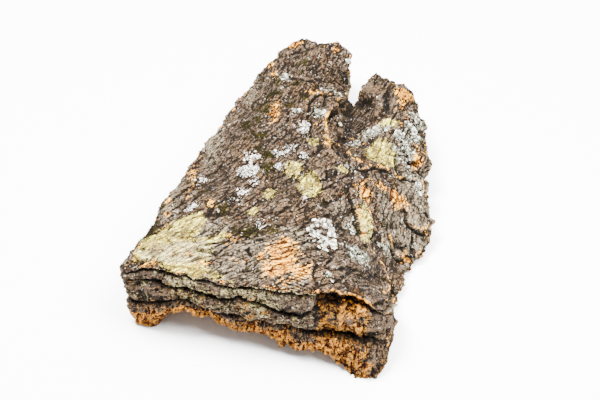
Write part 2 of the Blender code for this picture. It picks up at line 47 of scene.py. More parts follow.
# Upper rim of the slab seen from above, as (x, y) points.
NEAR_RIM = [(-102, -133), (-103, -141), (-99, -148), (-76, -151), (-41, -150), (7, -152), (38, -151),
            (50, -147), (60, -142), (72, -139), (84, -137), (93, -132), (98, -124)]
FAR_RIM = [(-64, 168), (-61, 181), (-56, 193), (-46, 195), (-30, 189), (-18, 193), (-12, 195), (-3, 189),
           (3, 181), (5, 165), (6, 150), (10, 138), (17, 131), (22, 138), (23, 149), (31, 164), (37, 161),
           (44, 155), (52, 153), (60, 153), (68, 148), (75, 138), (78, 128)]
LEFT_RIM = [(-102, -133), (-103, -111), (-101, -79), (-99, -39), (-97, -10), (-94, 22), (-85, 62),
            (-82, 84), (-79, 117), (-73, 150), (-64, 168)]
RIGHT_RIM = [(98, -124), (98, -100), (97, -80), (98, -67), (100, -50), (105, -32), (111, -9), (111, 6),
             (105, 20), (100, 28), (98, 43), (93, 52), (98, 62), (94, 80), (90, 100), (78, 128)]

# Height of the outer face over the floor: each row is one station along, each column one across.
ACROSS = [0.0, 0.17, 0.33, 0.5, 0.67, 0.83, 1.0]
ALONG = [0.0, 0.15, 0.35, 0.55, 0.75, 0.9, 1.0]
FACE_HEIGHT = [
    [58, 69, 69, 71, 75, 72, 50],
    [52, 66, 71, 74, 75, 58, 20],
    [48, 62, 69, 72, 70, 48, 10],
    [45, 59, 65, 67, 62, 50, 24],
    [43, 55, 60, 58, 52, 50, 34],
    [42, 52, 55, 50, 46, 50, 38],
    [42, 50, 52, 48, 42, 46, 38],
]

# The fold between the lobes, from the notch inwards: (x, y) points, half width and depth.
FOLD = [(14, 152), (17, 133), (22, 116), (25, 85), (27, 50), (33, 16)]
FOLD_STEEP_WIDTH, FOLD_GENTLE_WIDTH = 9.0, 20.0
FOLD_WIDTH_AT_NOTCH = 6.0
FOLD_DEPTH_AT_NOTCH = 16.0
FOLD_DEPTH_INSIDE = 9.0

# Plates that have lifted or flaked. Walking along the points, the ground on the left is lower.
# Each has its points, its drop, and how far the step takes to die away on each side.
LEDGES = [
    ([(37, 3), (27, 14), (19, 29), (18, 44), (9, 67), (8, 88), (10, 109), (13, 133)], -7.0, 16.0),
    ([(40, 5), (39, 18), (38, 31), (32, 43), (33, 51), (41, 71), (43, 89), (52, 98)], 4.0, 12.0),
    ([(9, 117), (2, 116), (-7, 107), (-10, 100), (-12, 87), (-15, 75), (-20, 69)], 2.6, 10.0),
    ([(-15, 59), (1, 68), (7, 67), (11, 59)], 2.0, 9.0),
    ([(-40, 98), (-43, 91), (-48, 86)], 1.4, 6.0),
    ([(-42, 180), (-47, 177), (-51, 170), (-53, 163)], 2.0, 6.0),
    ([(-31, -5), (-36, -8), (-42, -7), (-48, -3)], 1.6, 6.0),
    ([(48, -28), (52, -36), (59, -51), (64, -59), (69, -64)], -3.4, 9.0),
    ([(57, -20), (66, -34), (74, -41), (79, -43)], 2.6, 8.0),
    ([(111, -3), (103, -9), (96, -9), (94, -3), (89, 2)], 3.2, 9.0),
    ([(103, -23), (98, -34), (93, -40), (89, -38), (85, -33), (80, -30)], 4.4, 8.0),
    ([(69, -64), (77, -65), (85, -60), (90, -64), (93, -70), (94, -87), (95, -112)], 4.2, 10.0),
    ([(21, -114), (31, -114), (38, -120), (44, -132), (49, -144)], 2.2, 8.0),
    ([(70, 62), (77, 64), (84, 59), (89, 57)], -2.6, 8.0),
    ([(100, 43), (87, 36), (73, 31), (60, 23), (51, 10), (41, 6)], 3.2, 10.0),
]
LEDGE_FACE = 1.0
CREVICE_SHARE = 0.7

# Furrows that follow the grain: depth, and how much of the face they take.
FURROW_DEPTH = 2.2
FURROW_DEPTH_ON_FLANK = 4.0
FURROW_SHARE = 0.16
FLANK_START, FLANK_END = 62.0, 88.0

# Relief that follows no drawn line, in mm: broad swells, bumps, ropes along the grain, and sheets that lie
# over each other like steps.
SWELL_HEIGHT, SWELL_SIZE = 2.0, 34.0
BUMP_HEIGHT, BUMP_SIZE = 0.9, 13.0
ROPE_HEIGHT, ROPE_WIDTH, ROPE_LENGTH = 0.6, 7.0, 40.0
SHEET_HEIGHT, SHEET_WIDTH, SHEET_LENGTH, SHEET_STEPS = 3.2, 15.0, 50.0, 4

# Share of the face, next to the rim, over which the relief turns from upright to square.
RIM_BAND = 0.05

# How far the torn outline strays from its smooth course.
RAGGED = 1.6

# Narrow splits: points, half width and depth.
SPLITS = [
    ([(-16, -114), (-12, -119), (-8, -122)], 1.6, 2.6),
    ([(46, 137), (49, 127), (53, 110), (56, 101)], 2.4, 3.6),
    ([(30, -20), (33, -23), (37, -24)], 1.6, 2.4),
    ([(104, 12), (109, 6)], 1.6, 2.6),
]

# Direction of the grain, degrees from X, at places (x, y) over the face.
GRAIN = [(-21, 159, 94), (-64, 74, 83), (-29, 10, 66), (-1, -28, 60), (24, -63, 48), (44, -24, 54),
         (-73, -46, 66), (-90, -97, 66), (-61, -137, 40), (-5, -136, 18), (42, -139, 30), (70, -104, 62),
         (74, -25, 116), (93, 10, 108), (69, 84, 88), (37, 89, 70), (92, -70, 112)]
GRAIN_REACH = 32.0

# Crusts of lichen thick enough to feel: centre, half length, half width, turn in degrees.
CRUSTS = [(-72, -113, 36, 23, 32), (-44, -136, 32, 11, 6), (2, 14, 10, 8, 60), (15, -6, 14, 8, 110),
          (62, 62, 15, 11, 20), (58, -36, 20, 5, 122)]
CRUST_THICKNESS = 1.2
CRUST_CALM = 0.65

# Layers of the torn edge. Heights over the floor along the near end, as (x, z) points.
LIP_THICKNESS = 3.0
NEAR_CRACK = [(-106, 50), (-80, 56), (-65, 53), (-50, 52), (-36, 49), (-19, 49), (-10, 56), (-2, 53),
              (18, 48), (29, 46), (38, 47), (50, 55), (62, 57), (84, 56), (99, 40)]
NEAR_INNER = [(-106, 27), (-96, 26), (-78, 32), (-67, 36), (-60, 41), (-50, 38), (-40, 34), (-22, 33),
              (18, 33), (36, 34), (43, 30), (77, 30), (99, 28)]
NEAR_FOOT = [(-106, 4), (-102, 0), (-92, 0), (-88, 2), (-82, 9), (-69, 22), (-59, 29), (-50, 27),
             (-49, 24), (-37, 25), (-24, 22), (-17, 17), (-2, 20), (6, 20), (17, 17), (22, 9), (25, 9),
             (28, 16), (31, 11), (51, 14), (62, 10), (70, 6), (77, 0), (99, 0)]
# Height of the lower rim round the other sides: (y, z) up the right and left, (x, z) across the far end.
RIGHT_FOOT = [(-124, 0), (-108, 4), (-90, 5), (-60, 3), (-20, 3), (10, 6), (45, 9), (80, 7), (128, 9)]
FAR_FOOT = [(-64, 8), (-50, 5), (-36, 0), (-20, 0), (-6, 5), (6, 12), (18, 12), (24, 12), (38, 9),
            (82, 9)]
LEFT_FOOT = [(-136, 4), (-100, 5), (0, 6), (90, 9), (168, 8)]
# Where the lower rim lies from the upper one, across and along, by the same places.
NEAR_REACH = [(-102, 3, 0), (-60, 0, 0), (20, 0, -1), (45, 0, -4), (55, 0, -9), (70, 2, -17), (84, 4, -23),
              (93, 6, -26), (98, 7, -25)]
RIGHT_REACH = [(-124, 7, -25), (-112, 5, -16), (-100, 2, -6), (-80, 0, 0), (128, -3, 0)]
FAR_REACH = [(-64, 2, -4), (78, -1, -3)]
LEFT_REACH = [(-133, 3, 0), (-100, 6, 0), (168, 3, 0)]

# Outward swell of each of the four layers along the near end, and depth of the three splits between
# them, as (x, mm) points. The other sides take the plain values, and lean in and out by up to SIDE_LEAN.
NEAR_SWELL = [
    [(-106, 1.0), (99, 1.0)],
    [(-106, 5.0), (-90, 3.0), (45, 2.5), (55, -6.0), (80, -7.0), (90, 0.0), (99, 2.0)],
    [(-106, 8.0), (-92, 3.0), (45, 2.0), (55, 4.0), (84, 5.0), (99, 2.0)],
    [(-106, 5.0), (-92, 2.5), (18, 2.0), (24, -1.0), (72, -1.0), (84, 2.0), (99, 3.0)],
]
NEAR_SPLIT = [
    [(-106, 1.0), (-98, 6.0), (44, 6.0), (52, 0.5), (99, 0.5)],
    [(-106, 2.0), (-80, 4.0), (46, 4.0), (54, 1.0), (99, 1.5)],
    [(-106, 2.0), (18, 1.5), (26, 7.0), (84, 9.0), (94, 3.0), (99, 1.5)],
]
SIDE_SWELL = [0.8, 2.2, 1.8, 1.2]
SIDE_SPLIT = [3.0, 3.6, 3.2]
SIDE_LAYER_SHARE = [0.08, 0.38, 0.68]
SIDE_LEAN = 3.0
CORNER_BLEND = 16.0

# How far the layers' borders stray on those sides, as shares of the wall's height, and over what length.
WANDER_SHARE, WANDER_SIZE = 0.16, 52.0
WAVER_SHARE, WAVER_SIZE = 0.05, 12.0

# Crumbled cork in the torn edge: size of its blocks, how far they stand out, where the near end is broken
# away deepest, and how the layers' faces swing in and out.
BLOCK_ACROSS, BLOCK_UP = 7.0, 5.0
BLOCK_RELIEF = 0.9
BROKEN_RELIEF = 2.6
BROKEN_START, BROKEN_END = 46.0, 92.0
TEAR_DEPTH, TEAR_SIZE = 3.0, 19.0
FRAY_DEPTH, FRAY_SIZE = 1.2, 6.0

# Length of each side of the rim, and how far the outward directions are eased along it.
SIDE_RUN = (222.0, 275.0, 288.0, 307.0)
TURN_REACH = 6.6
TURN_EASE = 4.4

# The hollow inner face and the flats it stands on: (x, y, radius).
HOLLOW_HEIGHT = 25.0
FEET = [(-92, -141, 8), (92, -152, 9), (-30, 182, 8)]
FOOT_SLOPE = 16.0

# Cells of the face, rows of each layer of the torn edge, and the seed of all noise.
CELLS_ACROSS, CELLS_ALONG = 240, 404
LAYER_ROWS = [5, 14, 15, 16]
SEED = 11

# Outline of the large crust, as (x, y) points.
BIG_CRUST = [(-100, -137), (-99, -104), (-91, -90), (-73, -85), (-62, -79), (-53, -88), (-55, -103),
             (-61, -111), (-42, -107), (-35, -100), (-29, -104), (-41, -117), (-37, -129), (-40, -140),
             (-17, -149), (-60, -152)]

# Growths and bared cork on the face: (x, y, half width, half depth), turned by the photo's bearing.
PATCH_TURN = 14.0
PATCH_EDGE = 6.0
YELLOW = [(-2, -13, 7, 10), (16, -30, 10, 15), (-14, -46, 5, 8), (-20, -73, 4, 5), (4, 31, 4.5, 7),
          (61, 48, 13, 17), (57, 90, 9, 6), (64, -47, 5.5, 19), (36, 0, 3.8, 3)]
WHITE = [(-41, 1, 8, 6), (-19, 6, 6, 5), (-14, -12, 5, 6), (-12, 16, 10, 4), (-8, 45, 5, 13),
         (-39, -17, 10, 10), (-31, -34, 6, 5), (-36, -48, 6, 6), (2, 5, 4, 4), (14, -43, 3, 7),
         (-76, -31, 6, 5), (-71, -73, 6, 6), (-41, -59, 5, 3), (-10, -89, 3, 6)]
ROSETTES = [(40, -82, 12, 17), (-41, 1, 6, 4)]
LEAFY = [(55, -59, 6, 9), (67, -84, 9, 12), (53, -128, 2.5, 8), (85, -43, 7, 5), (46, 79, 11, 11),
         (35, 67, 6, 10), (74, 76, 10, 10), (75, 58, 4, 4), (83, 108, 8, 9), (41, 6, 5, 5),
         (82, 64, 5, 5), (43, 7, 6, 5), (96, 35, 4, 8), (-45, 129, 5, 10), (2, 171, 3.6, 2.5),
         (-4, 116, 7, 4), (5, 120, 7, 5), (-3, 76, 7, 10), (-21, 69, 4.5, 3), (56, 84, 5, 6),
         (67, 60, 6, 5), (78, 64, 7, 7), (77, 93, 7, 8), (77, 113, 6, 6), (80, 51, 5, 5), (88, 42, 5, 6),
         (76, 27, 4, 4), (83, 85, 5, 6), (39, 85, 5, 8), (40, 124, 3, 5)]
MOSS = [(-29, 3, 5, 5), (-39, 10, 3, 3), (-24, -15, 6, 7), (-59, 46, 4, 5), (-50, 54, 2, 3),
        (-50, 76, 2, 8), (-44, 29, 4, 3), (-49, 98, 2.5, 1.5), (-29, 79, 3, 2), (-49, 119, 2, 3),
        (-34, 151, 3, 3), (-19, 95, 2, 3), (-32, 118, 2.5, 2.5), (-46, -70, 3, 5), (-19, -99, 8, 4),
        (2, -94, 3.5, 4), (-100, -95, 3, 9)]
BARE = [(17, -123, 15, 24), (62, 138, 9, 10), (65, 116, 3, 12), (-58, 134, 4, 8), (-39, 66, 5, 12),
        (-16, 103, 4, 15), (-52, 188, 8, 7), (-64, 166, 2, 6), (7, 178, 2.6, 10), (0, 56, 15, 3),
        (12, 51, 3, 20), (39, 82, 7, 4), (43, 24, 6, 6), (88, 65, 5, 9), (97, 55, 3, 3), (58, -16, 6, 11),
        (69, 4, 6, 5), (85, 2, 12, 7), (82, -38, 5, 2.5), (53, -38, 3, 2), (-54, -71, 2, 3),
        (-28, -109, 5, 5), (-101, -122, 3, 14), (-59, -129, 6, 2.4), (-84, -145, 9, 2),
        (-44, -137, 5, 2.6), (-96, -60, 2, 30), (-93, 0, 2, 30), (-20, -128, 4, 2.4), (33, -134, 8, 12),
        (-2, -121, 6, 5), (5, 181, 2.5, 9), (-14, 184, 7, 3), (-65, 154, 3, 7), (39, 85, 6, 4),
        (43, 25, 4, 4)]

# Where the crusts are greyer, towards the near lip.
MUTED = [(-64, -130, 34, 15), (-36, -122, 12, 12)]

# Lighter, tan ground along the near lip and the flank, and ground with fine ribs across it.
PALE = [(-14, -141, 30, 11), (28, -138, 14, 16), (-60, -112, 34, 30), (-94, -60, 9, 60), (62, -42, 7, 22),
        (20, -100, 16, 14), (-88, 40, 9, 60), (-76, 120, 7, 40), (82, -20, 12, 30), (97, 5, 14, 70),
        (46, -48, 8, 10), (-6, -124, 26, 22)]
RIBS = [(35, -140, 11, 13)]

# A leaf of lichen as rows of (how far out, half width, lift), each a share of its length.
LOBE_ROWS = [(-0.5, 0.2, -0.15), (-0.2, 0.38, 0.06), (0.1, 0.5, 0.16), (0.36, 0.44, 0.26),
             (0.55, 0.2, 0.24)]

# Growths out of the face: patches, share of the places taken, length, and least cover of a place.
LEAFY_LOBES = (LEAFY, 0.3, 2.3, 0.92)
WHITE_LOBES = [(ROSETTES, 0.2, 3.0, 0.74), (WHITE, 0.28, 1.5, 0.98)]
MOSS_SHARE, MOSS_LENGTH, MOSS_COVER = 0.9, 1.5, 0.4
BLADE_RADIUS = 0.36

# Crumbs on the torn edge, and where a block has fallen out of the broken part of it.
CRUMB_SHARE, CRUMB_SIZE, CRUMB_BARE = 0.05, 1.7, 0.72
PIT_LEVEL, PIT_DEPTH = -0.2, 3.0

# Fine blocks of the torn edge, across and up: its grains, the ribs of the inmost layer, and the pits.
GRAIN_BLOCK, RIB_BLOCK, PIT_BLOCK = (3.2, 2.6), (2.0, 6.5), (4.6, 3.8)

# How bare and how raw each layer of the torn edge is, at the near end and on the other sides.
NEAR_BARE = [0.34, 0.26, 0.34, 1.0]
SIDE_BARE = [0.34, 0.4, 0.5, 0.8]
NEAR_RAW = [0.8, 1.0, 0.85, 0.95]
# Marks of the hollow side, which are 0 where none is named. Its dark mark is painted shade on the underside,
# under the arch.
HOLLOW_MARKS = {"bare": 1.0, "raw": 0.6, "dark": 0.35}
# Strength of the painted shade in the furrows and in the fold.
FURROW_PAINTED_SHADE, FOLD_PAINTED_SHADE = 0.45, 0.42
# Where the cork turns grey towards the near right foot, and how grey, from 0 to 1.
GREY_FOOT_START, GREY_FOOT_REACH, GREY_FOOT_SHARE = 89.0, 4.0, 0.7

# Share of their everyday brightness that the paints of bark and cork keep under the strong studio light.
PAINT_SHARE = 0.43

# Levels of the tone where the coats' colours stand, and each coat: how bright its paint stays, its levels,
# and an everyday colour of 0 to 255 at each.
GROUND_LEVELS, CRUST_LEVELS = (0.2, 0.42, 0.6, 0.85), (0.15, 0.38, 0.6, 0.88)
COATS = {
    "bark": (PAINT_SHARE, GROUND_LEVELS, (9, 5, 2), (35, 27, 19), (57, 45, 33), (124, 102, 82)),
    "warm bark": (PAINT_SHARE, GROUND_LEVELS, (11, 6, 2), (44, 28, 14), (68, 47, 26), (142, 110, 72)),
    "pale": (PAINT_SHARE, GROUND_LEVELS, (12, 9, 5), (58, 49, 37), (102, 88, 69), (166, 149, 124)),
    "pale cork": (1.0, GROUND_LEVELS, (42, 22, 7), (92, 54, 15), (158, 95, 17), (244, 176, 46)),
    "raw cork": (PAINT_SHARE, GROUND_LEVELS, (14, 4, 1), (70, 32, 9), (138, 74, 22), (246, 166, 62)),
    "yellow": (1.0, CRUST_LEVELS, (34, 24, 9), (84, 68, 32), (132, 117, 46), (244, 232, 112)),
    "muted": (1.0, CRUST_LEVELS, (40, 32, 20), (82, 71, 48), (112, 101, 70), (190, 178, 134)),
    "white": (1.0, (0.2, 0.42, 0.7), (70, 64, 56), (180, 176, 166), (252, 250, 244)),
    "leafy": (1.0, (0.2, 0.5, 0.85), (12, 11, 7), (62, 61, 48), (168, 169, 150)),
    "moss": (PAINT_SHARE, (0.2, 0.5, 0.85), (8, 7, 1), (31, 27, 4), (72, 64, 12)),
    "leafy_lichen": (1.0, (0.2, 0.5, 0.9), (18, 17, 11), (98, 99, 84), (238, 240, 230)),
    "white_lichen": (1.0, (0.25, 0.5, 0.85), (22, 19, 14), (144, 140, 126), (236, 232, 218)),
    "moss tips": (PAINT_SHARE, (0.1, 0.5, 0.9), (7, 6, 1), (34, 30, 4), (100, 90, 18)),
}
# Colour of the painted shade in clefts, splits, pits and the hollow side, which also darkens the torn edge,
# and how much the whole bark shines.
PAINTED_SHADE_COLOUR, SHINE = (10, 8, 6), 0.06

# Where each cover sets in and where it is whole, as levels of its mark plus its edge, and its edge's kind.
COVERS = [("pale", 0.95, 1.25, "ragged"), ("bare", 1.22, 1.3, "torn"), ("moss", 1.0, 1.12, "shreds"),
          ("yellow", 1.0, 1.06, "ragged"), ("white", 1.38, 1.43, "shreds"),
          ("leafy", 1.34, 1.42, "shreds")]

# Specks: cell size in mm, share of the cells, width, strength and colour. The dust's strength varies.
SPECKS = [(2.2, 0.05, 0.3, 0.7, (16, 9, 5)), (2.6, 0.012, 0.34, 0.6, (120, 66, 20)),
          (1.6, 0.02, 0.4, 0.4, (150, 146, 132))]
DUST_SIZE, DUST_SHARE, DUST_WIDTH, DUST_COLOUR = 1.5, 0.16, 0.42, (184, 180, 174)

# Small plates of the weathered face: size, how drawn out along the grain, relief and crack depth.
PLATES = [(5.5, 2.8, 0.15, 0.32), (2.4, 2.2, 0.14, 0.22)]

# The grain's own coordinates are sums of powers of x and y up to this one, over the slab's half length.
# They are fitted to the grain's direction at samples across and along the slab.
GRAIN_POWERS = 7
HALF_LENGTH = 180.0
SAMPLES_ACROSS, SAMPLES_ALONG = (-105, 112, 32), (-152, 195, 50)

# Camera: bearing and height in degrees, distance and target in metres, lens and sensor in mm.
CAMERA_BEARING, CAMERA_HEIGHT = 14.0, 42.0
CAMERA_DISTANCE = 1.19
CAMERA_TARGET = (-BOX_MIDDLE[0] * MM, -BOX_MIDDLE[1] * MM, 0.025)
CAMERA_LENS, SENSOR_WIDTH = 84.0, 36.0

# Studio in metres and watts: floor, white surroundings, and lamps by name, place, width and power.
FLOOR_HALF, FLOOR_DROP, FLOOR_GREY = 6.0, 0.0002, 0.94
WORLD_STRENGTH = 0.8
LAMPS = [("key", (-0.5, -0.1, 1.6), 0.8, 235.0), ("back", (0.2, 0.6, 1.5), 1.2, 80.0),
         ("fill", (0.8, -0.25, 1.4), 1.0, 140.0)]


def smooth(t):
    t = np.clip(t, 0.0, 1.0)
    return t * t * (3.0 - 2.0 * t)


def hump(t):
    """1 at 0, dying away on both sides of it."""
    return np.exp(-(t**2))


def read(table, at, column=1):
    """Value at a place, from a table of (place, value, ...) rows."""
    rows = np.array(table, float)
    return np.interp(at, rows[:, 0], rows[:, column])


def chance(i, j, seed, around=None):
    """A number from -1 to 1 for each whole place (i, j), which repeats after so many places if asked."""
    if around:
        i = i % around
    n = (i * 374761393 + j * 668265263 + (seed + SEED) * 974634777) & 0xFFFFFFFF
    n = ((n ^ (n >> 13)) * 1274126177) & 0xFFFFFFFF
    return ((n ^ (n >> 16)) & 0xFFFF) / 32767.5 - 1.0


def noise(x, y, seed, around=None):
    """Smooth noise from -1 to 1, with features one unit wide."""
    left, low = np.floor(x).astype(np.int64), np.floor(y).astype(np.int64)
    right_share, high_share = smooth(x - left), smooth(y - low)
    near, far = chance(left, low, seed, around), chance(left + 1, low, seed, around)
    below = near * (1 - right_share) + far * right_share
    near, far = chance(left, low + 1, seed, around), chance(left + 1, low + 1, seed, around)
    above = near * (1 - right_share) + far * right_share
    return below * (1 - high_share) + above * high_share


def rim_noise(run, across, size, seed):
    """Noise along the rim, with features of that size in mm, that meets itself where the rim closes."""
    count = round(sum(SIDE_RUN) / size)
    return noise(run / sum(SIDE_RUN) * count, across, seed, count)


def blocks(x, y, seed, around=None, reach=1, angle=0.0, stretch=1.0):
    """Level from -1 to 1 of the block round each point, distance from its border, and tilt across it.

    Blocks are one unit wide, or drawn out along an angle, and are looked for so many places off."""
    along_x, along_y = np.cos(angle) / stretch, np.sin(angle) / stretch
    nearest, second = np.full(x.shape, 9.0), np.full(x.shape, 9.0)
    level, tilt = np.zeros(x.shape), np.zeros(x.shape)
    left, low = np.floor(x).astype(np.int64), np.floor(y).astype(np.int64)
    for i in range(-reach, reach + 1):
        for j in range(-reach, reach + 1):
            cell = (left + i, low + j)
            step_x = x - (left + i + 0.5 + 0.42 * chance(*cell, seed, around))
            step_y = y - (low + j + 0.5 + 0.42 * chance(*cell, seed + 1, around))
            across = (step_y * along_x - step_x * along_y) * stretch
            gap = np.hypot(step_x * along_x + step_y * along_y, across)
            closer = gap < nearest
            second = np.where(closer, nearest, np.minimum(second, gap))
            level = np.where(closer, chance(*cell, seed + 2, around), level)
            tilt = np.where(closer, across * chance(*cell, seed + 3, around), tilt)
            nearest = np.where(closer, gap, nearest)
    return level, second - nearest, tilt


def rim_blocks(run, height, across, up, seed):
    """Levels and border distances along the rim, with blocks of that size in mm."""
    count = round(sum(SIDE_RUN) / across)
    return blocks(run / sum(SIDE_RUN) * count + 0.0 * height, height / up + 0.0 * run, seed, count)[:2]


def two_noises(x, y, seed):
    """A pair of unlike noises as a last axis, to push points about sideways."""
    return np.stack([noise(x, y, seed), noise(x + 40.5, y, seed)], -1)


def along_rim(rim, share):
    """Point (x, y) at a share of the way along a rim."""
    p = np.array(rim, float)
    run = np.concatenate([[0.0], np.cumsum(np.hypot(*np.diff(p, axis=0).T))])
    return np.stack([np.interp(share * run[-1], run, p[:, k]) for k in (0, 1)], -1)


def plan(u, v):
    """Place seen from above of the point u across and v along, each from 0 to 1."""
    near_left, near_right = np.array(NEAR_RIM[0], float), np.array(NEAR_RIM[-1], float)
    far_left, far_right = np.array(FAR_RIM[0], float), np.array(FAR_RIM[-1], float)
    a, b = u[..., None], v[..., None]
    near_chord, far_chord = (1 - a) * near_left + a * near_right, (1 - a) * far_left + a * far_right
    left_chord, right_chord = (1 - b) * near_left + b * far_left, (1 - b) * near_right + b * far_right
    place = ((1 - b) * near_chord + b * far_chord
             + (along_rim(NEAR_RIM, u) - near_chord) * (1 - b) ** 4
             + (along_rim(FAR_RIM, u) - far_chord) * b ** 4
             + (along_rim(LEFT_RIM, v) - left_chord) * (1 - a) ** 2
             + (along_rim(RIGHT_RIM, v) - right_chord) * a ** 2)
    return place + RAGGED * two_noises(place[..., 0] / 7, place[..., 1] / 7, 8)


def station_weights(stations, at):
    """Weight of each station at a place, for a smooth curve through them all."""
    places = np.array(stations)
    first = np.clip(np.searchsorted(places, at, side="right") - 1, 0, len(places) - 2)
    t = (at - places[first]) / (places[first + 1] - places[first])
    cubic = (-0.5 * t**3 + t**2 - 0.5 * t, 1.5 * t**3 - 2.5 * t**2 + 1,
             -1.5 * t**3 + 2 * t**2 + 0.5 * t, 0.5 * t**3 - 0.5 * t**2)
    weights = np.zeros(at.shape + (len(places),))
    for step, weight in zip((-1, 0, 1, 2), cubic):
        station = np.clip(first + step, 0, len(places) - 1)
        np.add.at(weights, (*np.indices(at.shape), station), weight)
    return weights


def face_height(u, v):
    """Height of the bowed face before its relief."""
    heights = np.array(FACE_HEIGHT, float)
    return np.einsum("...j,ji,...i->...", station_weights(ALONG, v), heights, station_weights(ACROSS, u))


def beside(line, x, y):
    """Distance from a line of points, plus on its left, and the share of the way along it."""
    p = np.array(line, float)
    nearest = np.full(x.shape, np.inf)
    side, share = np.ones(x.shape), np.zeros(x.shape)
    lengths = np.hypot(*np.diff(p, axis=0).T)
    for k, length in enumerate(lengths):
        step = p[k + 1] - p[k]
        t = np.clip(((x - p[k, 0]) * step[0] + (y - p[k, 1]) * step[1]) / length**2, 0, 1)
        gap = np.hypot(x - p[k, 0] - t * step[0], y - p[k, 1] - t * step[1])
        turn = step[0] * (y - p[k, 1]) - step[1] * (x - p[k, 0])
        closer = gap < nearest
        nearest = np.where(closer, gap, nearest)
        side = np.where(closer, np.where(turn < 0, -1.0, 1.0), side)
        share = np.where(closer, (lengths[:k].sum() + t * length) / lengths.sum(), share)
    return nearest * side, share


def grain_angle(x, y):
    """Direction of the grain in radians, eased between the places where it is known."""
    total_x, total_y = np.zeros(x.shape), np.zeros(x.shape)
    for gx, gy, degrees in GRAIN:
        weight = np.exp(-((x - gx) ** 2 + (y - gy) ** 2) / (2 * GRAIN_REACH**2)) + 1e-6
        total_x += weight * np.cos(np.radians(2 * degrees))
        total_y += weight * np.sin(np.radians(2 * degrees))
    return np.arctan2(total_y, total_x) / 2


def streaks(x, y, spacing, length, seed, samples=4):
    """Noise drawn out along the grain, from about -1 to 1."""
    total = noise(x / spacing, y / spacing, seed)
    for way in (-1, 1):
        at_x, at_y = x, y
        for _ in range(samples):
            angle = grain_angle(at_x, at_y)
            at_x = at_x + way * np.cos(angle) * length / (2 * samples)
            at_y = at_y + way * np.sin(angle) * length / (2 * samples)
            total = total + noise(at_x / spacing, at_y / spacing, seed)
    return total / np.sqrt(2.0 * samples + 1)


def steps(level, count):
    """A rising value turned into flat treads with steep risers."""
    whole = np.floor(level * count)
    return (whole + smooth((level * count - whole - 0.75) / 0.25)) / count


def shaken(x, y):
    """The place, moved a little, so that drawn lines wander."""
    return x + 2.4 * noise(x / 11, y / 11, 1), y + 2.4 * noise(x / 11, y / 11, 2)


def furrow_share(x, y):
    """1 in a furrow of the weathered face and 0 between them."""
    furrow = hump(streaks(x, y, 13.0, 55.0, 9) / FURROW_SHARE)
    return furrow * smooth(0.6 + 0.8 * noise(x / 22, y / 22, 10))


def fold_share(x, y):
    """1 along the middle of the fold and 0 off it, and the share of the way from the notch inwards."""
    side, share = beside(FOLD, x, y)
    gentle = FOLD_WIDTH_AT_NOTCH + (FOLD_GENTLE_WIDTH - FOLD_WIDTH_AT_NOTCH) * smooth(share / 0.4)
    width = np.where(side < 0, FOLD_STEEP_WIDTH, gentle)
    return smooth((1 - share) / 0.15) * hump(side / width), share


def ledge_parts(line, drop, x, y):
    """Distance out from a ledge on its lower side, and its height there, which fades at both ends."""
    side, share = beside(line, x, y)
    return side * np.sign(drop), abs(drop) * smooth(share / 0.18) * smooth((1 - share) / 0.18)


def split_share(line, half_width, x, y):
    """1 in the middle of a narrow split and 0 off it."""
    side, share = beside(line, x, y)
    return smooth(share / 0.2) * smooth((1 - share) / 0.2) * hump(side / half_width)


def relief(x, y):
    """Height of the outer face's plates, splits, ridges and crusts over its bowed form."""
    x, y = shaken(x, y)
    crust = np.maximum.reduce([crust_cover(crust, x, y) for crust in CRUSTS])
    height = BUMP_HEIGHT * noise(x / BUMP_SIZE, y / BUMP_SIZE, 7)
    height += ROPE_HEIGHT * streaks(x, y, ROPE_WIDTH, ROPE_LENGTH, 4)
    sheets = steps(0.5 + 0.4 * streaks(x, y, SHEET_WIDTH, SHEET_LENGTH, 5), SHEET_STEPS)
    height += SHEET_HEIGHT * (sheets - 0.5)
    flank = smooth((x - FLANK_START) / (FLANK_END - FLANK_START))
    height -= (FURROW_DEPTH + (FURROW_DEPTH_ON_FLANK - FURROW_DEPTH) * flank) * furrow_share(x, y)
    height = height * (1 - CRUST_CALM * crust)
    height = SWELL_HEIGHT * noise(x / SWELL_SIZE, y / SWELL_SIZE, 3) + height + CRUST_THICKNESS * crust
    fold, share = fold_share(x, y)
    height -= (FOLD_DEPTH_AT_NOTCH + (FOLD_DEPTH_INSIDE - FOLD_DEPTH_AT_NOTCH) * smooth(share)) * fold
    for line, drop, reach in LEDGES:
        lower, size = ledge_parts(line, drop, x, y)
        height -= 0.5 * size * np.tanh(lower / LEDGE_FACE) * np.exp(-np.abs(lower) / reach)
        height -= CREVICE_SHARE * size * hump((lower - LEDGE_FACE) / LEDGE_FACE)
    for line, half_width, depth in SPLITS:
        height -= depth * split_share(line, half_width, x, y)
    return height


def crust_cover(crust, x, y):
    """1 on a crust and 0 off it, with a ragged border."""
    centre_x, centre_y, half_length, half_width, turn = crust
    angle = np.radians(turn)
    along = ((x - centre_x) * np.cos(angle) + (y - centre_y) * np.sin(angle)) / half_length
    across = ((y - centre_y) * np.cos(angle) - (x - centre_x) * np.sin(angle)) / half_width
    return smooth((1.0 + 0.25 * noise(x / 8, y / 8, 6) - np.hypot(along, across)) / 0.18)


def outer_face(u, v):
    """Points of the weathered face, with the relief standing square to the bowed form."""
    place = plan(u, v)
    bowed = np.concatenate([place, face_height(u, v)[..., None]], -1)
    normal = np.cross(np.gradient(bowed, axis=1), np.gradient(bowed, axis=0))
    normal /= np.linalg.norm(normal, axis=-1, keepdims=True)
    rim_share = smooth(inward(u, v) / RIM_BAND)[..., None]
    normal = rim_share * normal + (1 - rim_share) * np.array([0.0, 0.0, 1.0])
    return bowed + normal * relief(place[..., 0], place[..., 1])[..., None]


def inward(u, v):
    """How far a place lies in from the rim, as a share of the face."""
    return np.minimum.reduce([u, 1 - u, v, 1 - v])


